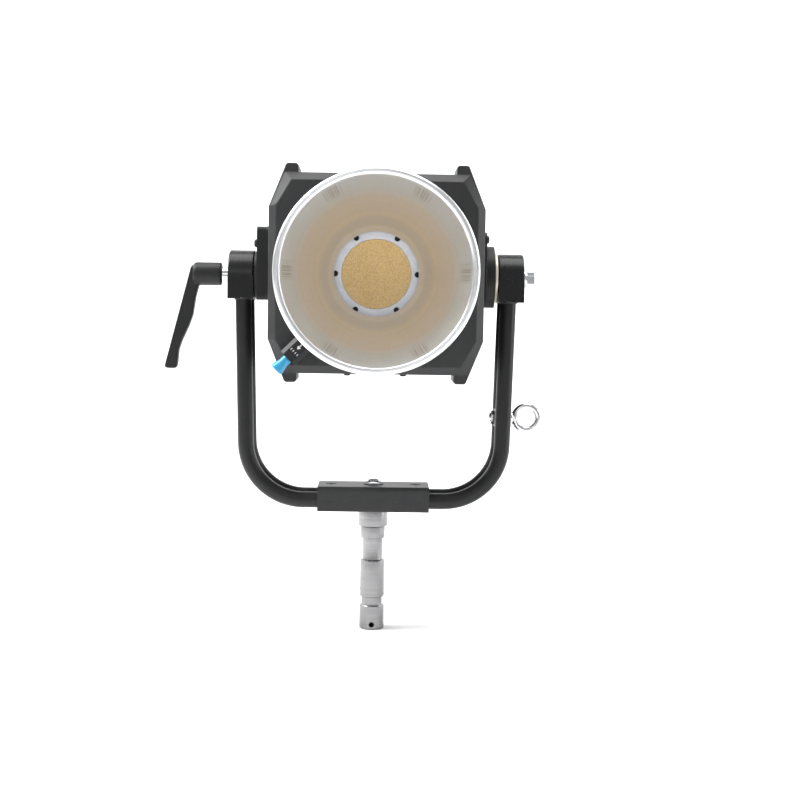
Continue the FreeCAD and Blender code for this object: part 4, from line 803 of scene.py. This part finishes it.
def add_safety_eye():
    """Eye bolt and its dome nut. The wire's radius is wire + swell exp(-(b / reach)^2), where b
    is the angle from the collar."""
    low, high = span("safety_eye")
    ring, wire, swell, reach = 13.35, 3.7, 0.5, 0.42
    centre = np.array([high[0] - ring - wire, 0, (low[2] + high[2]) / 2])
    a = full_turn(96)
    away = np.abs(a - math.pi)
    path = centre + np.stack([ring * np.cos(a), 0 * a, ring * np.sin(a)], -1)
    loop = tube(path, wire + swell * np.exp(-(away / reach) ** 2), 28, closed=True)
    shank, collar_radius, seat, collar_end = 4.0, 6.6, 154.0, 156.2
    collar = lathe(eased([(0, low[0]), (shank, low[0]), (shank, seat), (collar_radius, seat),
                          (collar_radius, collar_end), (shank + 0.9, collar_end + 1.4),
                          (shank + 0.2, collar_end + 2.3), (0, collar_end + 2.3)], 0.5,
                         closed=False), (0, 0, centre[2]), "X", 64)
    new_piece("eye_bolt", joined(loop, collar), "safety_eye")
    refined("safety_eye_nut", "eye_dome_nut", 0.0005)


def groove(pin, core, low, high, step, rise=0.9):
    """Outline of a groove turned in a pin, with a chamfer of step by rise at both its edges."""
    return [(pin, low - rise), (pin - step, low), (core, low),
            (core, high), (pin - step, high), (pin, high + rise)]


def spigot_profile():
    """Radius and height along the spigot: up the bore to its drilled end, then down to the foot
    and up the pin, over its two grooves and the shoulder, to the top of the threaded tail."""
    bore, bore_top, pin, shoulder, tail = 8.05, 55.0, 14.0, 17.0, 6.0
    shoulder_low, shoulder_high = 118.0, 137.0
    top = span("spigot")[1][2]
    outside = [(bore, 0.0), (pin - 1.0, 0.0), (pin, 1.0)]
    outside += groove(pin, 11.75, 27.5, 36.5, 0.8) + groove(pin, 11.5, 79.5, 104.0, 0.9)
    outside += [(pin, shoulder_low - 0.9), (pin - 0.6, shoulder_low),
                (shoulder - 0.8, shoulder_low), (shoulder, shoulder_low + 0.9),
                (shoulder, shoulder_high - 1.0), (shoulder - 1.0, shoulder_high),
                (tail, shoulder_high), (tail, top - 0.8), (tail - 0.8, top), (0.0, top)]
    inside = [(0.0, bore_top + 2.5), (bore, bore_top), (bore, 0.0)]
    return np.concatenate([inside, eased(outside, 0.35, closed=False)[1:]])


def add_spigot():
    """Combination spigot with its bore, grooves and locking hole, and the clamp above it."""
    s = sizes()
    spigot = new_object("spigot_turned", lathe(spigot_profile(), segments=128))
    hole_radius, hole_height = 3.0, 6.0
    hole = new_object("lock_hole", lathe([(0, 4), (hole_radius, 4), (hole_radius, 18), (0, 18)],
                                         (0, 0, hole_height), "-Y", 48))
    drill(spigot, hole)
    spigot.data.set_sharp_from_angle(angle=math.radians(32))
    settle(spigot, "spigot")
    refined("clamp_block_lower", "clamp_lower", 0.0005)
    refined("clamp_block_upper", "clamp_upper", 0.0005)
    refined("clamp_screws", "clamp_cap_screws", s.small_bevel, material=finish("black_casing"))
    refined("spigot_washer", "clamp_washer", s.small_bevel)
    refined("spigot_nut", "clamp_nut", s.small_bevel)


def add_casing():
    """Front and rear frames, shell, side plates and their screws."""
    s = sizes()
    refined("front_frame", "casing_front", s.casing_bevel)
    refined("rear_frame", "casing_rear", s.casing_bevel)
    refined("middle_shell", "casing_shell", s.small_bevel, segments=2, pierced=True)
    refined("side_plate_left", "cheek_left", s.casing_bevel)
    refined("side_plate_right", "cheek_right", s.casing_bevel)
    refined("side_plate_screws", "cheek_screws", s.small_bevel)
    refined("casing_screws", "button_screws", s.small_bevel)


def washer(inner, outer, start, end, axis, ease=0.4):
    """A turned ring with eased edges on the tilt axis."""
    profile = eased([(inner, start), (outer, start), (outer, end), (inner, end)], ease)
    return lathe(profile, (0, 0, TILT), axis, 112, closed=True)


def add_pivots():
    """Shafts, friction disc, washers and the bright bolt on the tilt axis."""
    s = sizes()
    steel = finish("steel_x")
    refined("tilt_shaft_left", "shaft_left", s.small_bevel, material=steel)
    refined("tilt_shaft_right", "shaft_right", s.small_bevel, material=steel)
    low, high = span("brass_washer")
    new_piece("brass_disc", washer(7.95, (high[2] - low[2]) / 2, low[0], high[0], "X"),
              "brass_washer", material=finish("brass"))
    low, high = span("friction_disc_left")
    new_piece("friction_disc", washer(7.95, (high[2] - low[2]) / 2, -high[0], -low[0], "-X"),
              "friction_disc_left")
    refined("spacer_washers", "spacers", s.small_bevel, material=steel)
    low, high = span("pivot_washer")
    new_piece("bolt_washer", washer(4, (high[2] - low[2]) / 2, low[0], high[0], "X", 0.8),
              "pivot_washer")
    refined("pivot_bolt", "bolt", 0.0006)


def lever_arm():
    """Cast arm: its outline seen along Y, carried from one side to the other with eased edges.
    The outer side is straight; the inner one hollows in below the hub and swells to the tip."""
    outline = [(187, 11), (187, -9), (196, -9), (199, -13), (202.4, -26), (205.6, -47),
               (210.4, -60), (216.9, -74), (220.9, -85.5), (222.5, -102), (223.7, -106.5),
               (234.6, -106.5), (237.0, -104.3), (207.5, 9.4)]
    levels = [(1.4, -7), (0.4, -6.6), (0, -5.6), (0, 5.6), (0.4, 6.6), (1.4, 7)]
    return prism(eased(outline, 2.5), levels, lambda flat, height: np.stack(
        [-flat[..., 0], height, TILT + flat[..., 1]], -1))


def lever_hub(start, end):
    """Round hub of the lever, between two distances along the tilt axis."""
    radius = 13.0
    profile = [(0, start), (radius - 1, start), (radius, start + 1), (radius, end - 2),
               (radius - 2, end), (0, end)]
    return lathe(eased(profile, 0.9, closed=False), (0, 0, TILT), "-X", 96)


def lever_bore(start, end):
    """Room in the lever for its stud, for the neck of its screw and for the screw's head."""
    stud, stud_end, neck, neck_end, head = 6.6, 187.4, 2.8, 190.0, 5.2
    profile = [(0, start), (stud, start), (stud, stud_end), (neck, stud_end), (neck, neck_end),
               (head, neck_end), (head, end), (0, end)]
    return lathe(profile, (0, 0, TILT), "-X", 64)


def add_lever():
    """Cast clamp lever with its steel stud, screw and spring."""
    s = sizes()
    hub_start, hub_end = -span("lever_handle")[1][0], 205.0
    handle = new_object("clamp_handle", joined(lever_hub(hub_start, hub_end), lever_arm()), 180)
    even = handle.modifiers.new("One skin", "REMESH")
    even.mode = "VOXEL"
    even.voxel_size = 0.0008
    smooth = handle.modifiers.new("Cast corners", "SMOOTH")
    smooth.factor = 0.5
    smooth.iterations = 3
    bpy.context.view_layer.update()
    apply_modifiers(handle)
    drill(handle, new_object("handle_bore", lever_bore(hub_start - 3, 216.0)))
    handle.data.polygons.foreach_set("use_smooth", np.ones(len(handle.data.polygons), bool))
    handle.data.set_sharp_from_angle(angle=math.radians(40))
    settle(handle, "lever_handle")
    refined("lever_stud", "handle_stud", s.small_bevel)
    refined("lever_screw", "handle_screw", 0.0003)
    refined("lever_spring", "handle_spring", 0.0002)


def phosphor_disc():
    """Disc whose face carries rows of small domes, three waves at sixty degrees:
    height = front - 0.35 + h (cos kx + cos k(x/2 + 0.866z) + cos k(x/2 - 0.866z) + 1.5) / 4.5,
    where k is a full turn over the spacing of the rows and h the domes' height."""
    low, high = span("cob_emitter")
    radius, front, back = (high[0] - low[0]) / 2, -low[1], -high[1]
    row_spacing = 2.1
    ring = np.linspace(0, 1, 100)[:, None] * (radius - 0.5)
    a = full_turn(380)[None, :]
    x, z = ring * np.cos(a), ring * np.sin(a)
    k = 2 * math.pi / row_spacing
    rows = (np.cos(k * x) + np.cos(k * (0.5 * x + 0.866 * z))
            + np.cos(k * (0.5 * x - 0.866 * z)))
    height = front - 0.35 + sizes().pebble_height / MM * (rows + 1.5) / 4.5
    dome = np.stack([x, -height, OPTICAL + z], -1)
    skirt = np.stack([polar(radius, a[0], front - 0.7), polar(radius, a[0], back),
                      polar(0.0, a[0], back)])
    return surface(np.concatenate([dome, skirt]))


def add_lamp():
    """Phosphor disc, white retainer, its screws and the bayonet ring."""
    new_piece("phosphor_disc", phosphor_disc(), "cob_emitter", sharp_angle=60)
    refined("cob_retainer", "lamp_retainer", 0.0004)
    refined("cob_screws", "lamp_screws", 0.0003)
    refined("mount_ring", "bayonet_ring", sizes().small_bevel)


def pull_knob():
    """Hollow knob turned on the latch's axis: a straight neck that flares to a wider end."""
    start, end, neck, flare, bore, bore_end = 128.4, 146.0, 5.2, 7.4, 3.0, 140.0
    outside = [(bore, start), (neck - 0.5, start), (neck, start + 0.5), (neck, 135),
               (5.7, 137.5), (6.4, 140), (flare - 0.2, 142.8), (flare, 143.8),
               (flare, end - 1), (flare - 0.8, end), (0, end)]
    profile = np.concatenate([[(0, bore_end), (bore, bore_end)],
                              eased(outside, 0.5, closed=False)])
    return lathe(profile, (0, -111, OPTICAL), "LATCH", 72)


def on_latch_face(flat, height):
    """Flat points over the latch housing's front face: across it, and out from the lamp."""
    across, outwards = np.array(AXES["LATCH"][1]), np.array(AXES["LATCH"][2])
    return (np.array([0, 0, OPTICAL]) + flat[..., :1] * across + flat[..., 1:] * outwards
            + height[..., None] * np.array([0, -1, 0]))


def latch_marks():
    """Four plain ticks in a row and an arrow towards them, a little proud of the housing."""
    front, half_tick = 121.0, 0.35
    tick_start, tick_end = 117.0, 119.4
    levels = [(0, front - 0.1), (0, front + 0.10), (0.05, front + 0.14)]
    outlines = [[(x - half_tick, tick_start), (x + half_tick, tick_start),
                 (x + half_tick, tick_end), (x - half_tick, tick_end)]
                for x in (-4.5, -1.5, 1.5, 4.5)]
    outlines.append([(-0.5, 106), (0.5, 106), (0.5, 111), (2.2, 111), (0, 114.4), (-2.2, 111),
                     (-0.5, 111)])
    return joined(*[prism(outline, levels, on_latch_face) for outline in outlines])


def add_latch():
    """Latch housing with its plain marks, spring pin and blue knob."""
    refined("latch_housing", "latch_body", 0.0007)
    refined("latch_pin", "latch_plunger", 0.0003)
    new_piece("pull_knob", pull_knob(), "latch_knob")
    new_detail("latch_marks", latch_marks(), "latch_housing", "white_plastic",
               material=finish("print"), sharp_angle=30)


BOWL_BACK, BOWL_FRONT, BOWL_NECK, BOWL_MOUTH, BOWL_WALL = 107.0, 227.0, 44.5, 92.8, 1.8


def bowl_radius(distance):
    """Inner radius of the bowl: its square grows evenly from the neck to the mouth."""
    share = (distance - BOWL_BACK) / (BOWL_FRONT - BOWL_BACK)
    return np.sqrt(BOWL_NECK ** 2 + (BOWL_MOUTH ** 2 - BOWL_NECK ** 2) * share)


def bowl_profile():
    """Inner line with shallow rings, the outer line a wall's thickness outside it and the flat
    flange. The rings are depth sin(turns of the ring spacing), and fade out at both ends."""
    ring_spacing, flange = 11.0, 58.0
    d = np.linspace(BOWL_BACK, BOWL_FRONT, 110)
    rings = sizes().spin_depth / MM * np.sin(2 * math.pi * (d - BOWL_BACK) / ring_spacing)
    rings *= np.sin(math.pi * (d - BOWL_BACK) / (BOWL_FRONT - BOWL_BACK)) ** 0.5
    inner = np.stack([bowl_radius(d) + rings, d], -1)
    slope = np.gradient(inner[:, 0], d)
    outer_d = np.linspace(BOWL_FRONT, BOWL_BACK, 60)
    outer = np.stack([bowl_radius(outer_d)
                      + BOWL_WALL * np.hypot(1, np.interp(outer_d, d, slope)), outer_d], -1)
    plate = np.array([(flange, BOWL_BACK), (flange, BOWL_BACK - BOWL_WALL),
                      (BOWL_NECK, BOWL_BACK - BOWL_WALL)])
    return np.concatenate([inner, outer[:-1], plate])


def rim_profile():
    """Circle of the rolled wire, just inside the solid rim's box."""
    low, high = span("reflector_rim")
    wire = 3.9
    a = full_turn(40)
    return np.stack([(high[0] - low[0]) / 2 - wire + wire * np.cos(a),
                     -low[1] - wire + wire * np.sin(a)], -1)


def add_reflector():
    """Spun bowl, rolled rim, adapter with its plate, and rivets."""
    s = sizes()
    for name, profile, node, sharp_angle in (("bowl", bowl_profile(), "reflector_bowl", 40),
                                             ("rolled_rim", rim_profile(), "reflector_rim", 32)):
        shape = lathe(profile, (0, 0, OPTICAL), "-Y", s.bowl_segments, closed=True)
        new_piece(name, shape, node, sharp_angle=sharp_angle)
    refined("reflector_adapter", "adapter_sleeve", s.small_bevel)
    refined("adapter_plate", "adapter_front_plate", s.small_bevel)
    refined("reflector_rivets", "bowl_rivets", 0.0002)


def fan_blade(side_x, turn):
    """One cambered blade. At radius r its section is (c, h) = (chord cos t, thickness sin t +
    camber sin^2 t), turned by the pitch, which falls towards the tip while the chord grows."""
    root, tip, middle_y, steps = 18.0, 42.4, 82.9, 26
    thickness, camber = 0.75, 1.3
    r = np.linspace(root, tip, 12)
    t = full_turn(steps)
    growth = (r - root) / 24
    chord = 8.6 + 0.6 * growth
    pitch = math.radians(38) - math.radians(9) * growth
    c = chord[:, None] * np.cos(t)[None]
    lift = thickness * np.sin(t) + camber * (1 - np.cos(t) ** 2)
    h = np.broadcast_to(lift[None], c.shape)
    tangent = c * np.cos(pitch)[:, None] - h * np.sin(pitch)[:, None]
    axial = middle_y + c * np.sin(pitch)[:, None] + h * np.cos(pitch)[:, None]
    angle = turn + tangent / r[:, None]
    radius = np.broadcast_to(r[:, None], angle.shape)
    points, faces = surface(np.stack([side_x + radius * np.cos(angle), axial,
                                      OPTICAL + radius * np.sin(angle)], -1))
    return points, faces + end_faces(points, steps)


def fan_rotor(side_x):
    """Rotor hub with its bore and nine blades."""
    bore, hub, rear, front, blades = 2.06, 19.0, 74.0, 93.0, 9
    body = lathe(eased([(bore, rear), (hub - 1.5, rear), (hub, rear + 1.5), (hub, front),
                        (bore, front)], 0.8), (side_x, 0, OPTICAL), "Y", 72, closed=True)
    return joined(body, *[fan_blade(side_x, turn) for turn in full_turn(blades)])


def add_cooling():
    """Fan rotors and frames behind the grille."""
    s = sizes()
    for name, place_x in (("left", -49.0), ("right", 49.0)):
        new_piece("rotor_" + name, fan_rotor(place_x), "fan_rotor_" + name)
        refined("fan_frame_" + name, "fan_case_" + name, s.small_bevel)


def ribbed_grip():
    """Grip turned on the handle's axis: radius = body - depth (1 - cos(turns of the ribs)) / 2,
    held level near both ends, which are rounded off as a quarter of an ellipse."""
    low, high = span("handle_grip")
    length = high[0] - low[0]
    body, depth, ribs, round_share, round_drop = 9.0, 0.9, 22, 0.022, 2.0
    x = np.linspace(0, 1, 220)
    from_end = np.minimum(x, 1 - x)
    rib = 0.5 - 0.5 * np.cos(2 * math.pi * x * ribs)
    ribbed = body - depth * rib * np.clip(from_end * 14 - 0.35, 0, 1)
    rounded = np.sqrt(np.clip(1 - (1 - from_end / round_share) ** 2, 0, 1))
    rounded = np.where(from_end < round_share, rounded, 1.0)
    radius = ribbed - round_drop * (1 - rounded)
    profile = np.concatenate([[(0, low[0])], np.stack([radius, low[0] + length * x], -1),
                              [(0, high[0])]])
    centre = middle("handle_grip")
    return lathe(profile, (0, centre[1], centre[2]), "X", 56)


def add_rear():
    """Grille, rear handle with a ribbed grip, and the power inlet."""
    s = sizes()
    refined("rear_grille", "grille", s.small_bevel, segments=2, pierced=True)
    new_piece("ribbed_grip", ribbed_grip(), "handle_grip", material=finish("rubber"))
    refined("handle_posts", "grip_posts", s.small_bevel)
    refined("power_inlet", "inlet_collar", s.small_bevel)
    refined("inlet_contacts", "inlet_core", s.small_bevel)


def paint_solids():
    """Gives every solid part the material of its slot, for those that no piece stands for."""
    for node, slot in SLOT_OF.items():
        mesh = frame["nodes"][node].data
        mesh.materials.clear()
        mesh.materials.append(finish(slot))


# ------------------------------------------------------------------ stage

def add_floor():
    """Pale sweep: level floor, a quarter round (y, z) = (depth + bend sin a, bend - bend cos a),
    then an upright wall."""
    bend, depth, half, top = 900.0, 1500.0, 4200.0, 3200.0
    a = np.linspace(0, math.pi / 2, 24)
    y = np.concatenate([[-half], depth + bend * np.sin(a), [depth + bend]])
    z = np.concatenate([[0.0], bend - bend * np.cos(a), [top]])
    x = np.linspace(-half, half, 3)
    grid = np.stack(np.broadcast_arrays(x[None], y[:, None], z[:, None]), -1)
    points, faces = surface(grid, close_columns=False)
    mesh = bpy.data.meshes.new("sweep")
    mesh.from_pydata((points * MM).tolist(), [], faces)
    mesh.polygons.foreach_set("use_smooth", np.ones(len(mesh.polygons), bool))
    floor = bpy.data.objects.new("sweep", mesh)
    bpy.context.scene.collection.objects.link(floor)
    material, graph, shader = new_material("Pale sweep", Roughness=0.9)
    tone = graph.effect("Smudges", Vector=graph.place(), Scale=1.5, Amount=0.1)["Mask"]
    graph.feed(shader.inputs["Base Color"],
               graph.mix(tone, (0.90, 0.90, 0.90, 1), (0.93, 0.93, 0.93, 1)))
    mesh.materials.append(material)


def add_light(name, place, target, width, height, power):
    """A soft white rectangular light that faces a point; lengths in metres, power in watts."""
    data = bpy.data.lights.new(name, "AREA")
    data.shape = "RECTANGLE"
    data.size = width
    data.size_y = height
    data.energy = power
    light = bpy.data.objects.new(name, data)
    light.location = place
    light.rotation_euler = (Vector(target) - Vector(place)).to_track_quat("-Z", "Y").to_euler()
    bpy.context.scene.collection.objects.link(light)


def add_camera():
    """Camera a little below the head's middle, tipped down and turned a little to its right."""
    data = bpy.data.cameras.new("camera")
    data.sensor_width = 36.0
    data.lens = 63.7
    data.clip_end = 50.0
    camera = bpy.data.objects.new("camera", data)
    pitch, yaw, roll = math.radians(3.92), math.radians(1.03), math.radians(0.9)
    look = (Matrix.Rotation(-yaw, 4, "Z") @ Matrix.Rotation(math.pi / 2 - pitch, 4, "X")
            @ Matrix.Rotation(roll, 4, "Z"))
    camera.matrix_world = Matrix.Translation((0, -1.6, 0.371)) @ look
    bpy.context.scene.collection.objects.link(camera)
    bpy.context.scene.camera = camera


def add_surroundings():
    """Pale world, darker towards both sides, so that bright metal shows soft bands."""
    world = bpy.data.worlds.new("surroundings")
    world.use_nodes = True
    graph = Graph(world.node_tree)
    sideways = graph.node("SeparateXYZ", {0: graph.place_around()}).outputs[0]
    side = graph.spread(graph.math("ABSOLUTE", sideways), 0.45, 0.80)
    background = world.node_tree.nodes["Background"]
    graph.feed(background.inputs["Color"],
               graph.mix(side, (0.95, 0.97, 1.0, 1), (0.74, 0.74, 0.75, 1)))
    background.inputs["Strength"].default_value = 0.47
    bpy.context.scene.world = world


def add_stage():
    """Floor, soft lights, pale surroundings and camera."""
    add_floor()
    target = (0, 0, 0.33)
    add_light("key_left", (-1.7, -0.15, 2.0), target, 1.2, 1.2, 80)
    add_light("front", (-0.5, -2.6, 1.3), target, 0.9, 0.9, 3)
    add_light("fill_right", (2.0, -0.2, 0.7), target, 0.7, 1.4, 12)
    add_light("top", (0, 0, 2.1), target, 2.0, 1.3, 34)
    add_light("sweep_left", (-1.9, 1.0, 1.4), (-0.3, 2.4, 0.6), 1.2, 1.2, 24)
    add_light("sweep_right", (1.9, 1.0, 1.4), (0.3, 2.4, 0.6), 1.2, 1.2, 24)
    add_surroundings()
    bpy.context.scene.view_settings.view_transform = "Standard"
    add_camera()


# ------------------------------------------------------------------ operators and panel

class SPOTLIGHT_OT_add_stage(bpy.types.Operator):
    """Floor, soft lights, pale surroundings and camera"""

    bl_idname = "spotlight.add_stage"
    bl_label = "Stage"
    bl_options = {"REGISTER", "UNDO"}

    def execute(self, context):
        """Makes the stage."""
        add_stage()
        return {"FINISHED"}


class SPOTLIGHT_OT_paint_solids(bpy.types.Operator):
    """Finishes for the solid parts that stay in view"""

    bl_idname = "spotlight.paint_solids"
    bl_label = "Solid Part Finishes"
    bl_options = {"REGISTER", "UNDO"}

    def execute(self, context):
        """Paints the solid parts."""
        paint_solids()
        return {"FINISHED"}


class SPOTLIGHT_OT_add_yoke(bpy.types.Operator):
    """Twin tubes, hubs, weld beads, bushes and the safety eye"""

    bl_idname = "spotlight.add_yoke"
    bl_label = "Yoke"
    bl_options = {"REGISTER", "UNDO"}

    def execute(self, context):
        """Makes the yoke."""
        add_yoke()
        return {"FINISHED"}


class SPOTLIGHT_OT_add_spigot(bpy.types.Operator):
    """Combination spigot, clamp block, screws and nut"""

    bl_idname = "spotlight.add_spigot"
    bl_label = "Spigot and Clamp"
    bl_options = {"REGISTER", "UNDO"}

    def execute(self, context):
        """Makes the spigot and clamp."""
        add_spigot()
        return {"FINISHED"}


class SPOTLIGHT_OT_add_casing(bpy.types.Operator):
    """Front and rear frames, shell, side plates and their screws"""

    bl_idname = "spotlight.add_casing"
    bl_label = "Casing"
    bl_options = {"REGISTER", "UNDO"}

    def execute(self, context):
        """Makes the casing."""
        add_casing()
        return {"FINISHED"}


class SPOTLIGHT_OT_add_pivots(bpy.types.Operator):
    """Shafts, discs, washers and the bolt on the tilt axis"""

    bl_idname = "spotlight.add_pivots"
    bl_label = "Pivots"
    bl_options = {"REGISTER", "UNDO"}

    def execute(self, context):
        """Makes the pivots."""
        add_pivots()
        return {"FINISHED"}


class SPOTLIGHT_OT_add_lever(bpy.types.Operator):
    """Cast clamp lever with its stud, screw and spring"""

    bl_idname = "spotlight.add_lever"
    bl_label = "Tilt Lever"
    bl_options = {"REGISTER", "UNDO"}

    def execute(self, context):
        """Makes the tilt lever."""
        add_lever()
        return {"FINISHED"}


class SPOTLIGHT_OT_add_lamp(bpy.types.Operator):
    """Phosphor disc, white retainer, screws and bayonet ring"""

    bl_idname = "spotlight.add_lamp"
    bl_label = "Lamp"
    bl_options = {"REGISTER", "UNDO"}

    def execute(self, context):
        """Makes the lamp."""
        add_lamp()
        return {"FINISHED"}


class SPOTLIGHT_OT_add_latch(bpy.types.Operator):
    """Latch housing with its marks, pin and blue knob"""

    bl_idname = "spotlight.add_latch"
    bl_label = "Latch"
    bl_options = {"REGISTER", "UNDO"}

    def execute(self, context):
        """Makes the latch."""
        add_latch()
        return {"FINISHED"}


class SPOTLIGHT_OT_add_reflector(bpy.types.Operator):
    """Spun bowl, rolled rim, adapter and rivets"""

    bl_idname = "spotlight.add_reflector"
    bl_label = "Reflector"
    bl_options = {"REGISTER", "UNDO"}

    def execute(self, context):
        """Makes the reflector."""
        add_reflector()
        return {"FINISHED"}


class SPOTLIGHT_OT_add_cooling(bpy.types.Operator):
    """Fan rotors and frames behind the grille"""

    bl_idname = "spotlight.add_cooling"
    bl_label = "Fans"
    bl_options = {"REGISTER", "UNDO"}

    def execute(self, context):
        """Makes the fans."""
        add_cooling()
        return {"FINISHED"}


class SPOTLIGHT_OT_add_rear(bpy.types.Operator):
    """Grille, ribbed handle and power inlet"""

    bl_idname = "spotlight.add_rear"
    bl_label = "Rear"
    bl_options = {"REGISTER", "UNDO"}

    def execute(self, context):
        """Makes the rear."""
        add_rear()
        return {"FINISHED"}


OPERATORS = [
    SPOTLIGHT_OT_add_stage,
    SPOTLIGHT_OT_paint_solids,
    SPOTLIGHT_OT_add_yoke,
    SPOTLIGHT_OT_add_spigot,
    SPOTLIGHT_OT_add_casing,
    SPOTLIGHT_OT_add_pivots,
    SPOTLIGHT_OT_add_lever,
    SPOTLIGHT_OT_add_lamp,
    SPOTLIGHT_OT_add_latch,
    SPOTLIGHT_OT_add_reflector,
    SPOTLIGHT_OT_add_cooling,
    SPOTLIGHT_OT_add_rear,
]


class SPOTLIGHT_PT_sidebar(bpy.types.Panel):
    """Sidebar panel with the spotlight's sizes, colours and pieces."""

    bl_idname = "SPOTLIGHT_PT_sidebar"
    bl_label = "Studio Spotlight"
    bl_space_type = "VIEW_3D"
    bl_region_type = "UI"
    bl_category = "Spotlight"

    def draw(self, context):
        """Lists the sizes, the colours and one button for each operator."""
        layout = self.layout
        for group in (context.scene.spotlight_sizes, context.scene.spotlight_colours):
            for name in group.__annotations__:
                layout.prop(group, name)
        for made in OPERATORS:
            layout.operator(made.bl_idname)


CLASSES = [SpotlightSizes, SpotlightColours] + OPERATORS + [SPOTLIGHT_PT_sidebar]


def register():
    """Registers the classes and puts the sizes and colours on the scene."""
    for made in CLASSES:
        bpy.utils.register_class(made)
    bpy.types.Scene.spotlight_sizes = PointerProperty(type=SpotlightSizes)
    bpy.types.Scene.spotlight_colours = PointerProperty(type=SpotlightColours)


def unregister():
    """Takes the classes and the scene's properties away again."""
    del bpy.types.Scene.spotlight_colours
    del bpy.types.Scene.spotlight_sizes
    for made in reversed(CLASSES):
        bpy.utils.unregister_class(made)


def main():
    """Makes everything in order."""
    register()
    for made in OPERATORS:
        getattr(bpy.ops.spotlight, made.bl_idname.split(".")[1])()
    bpy.context.view_layer.update()


if __name__ == "__main__":
    main()
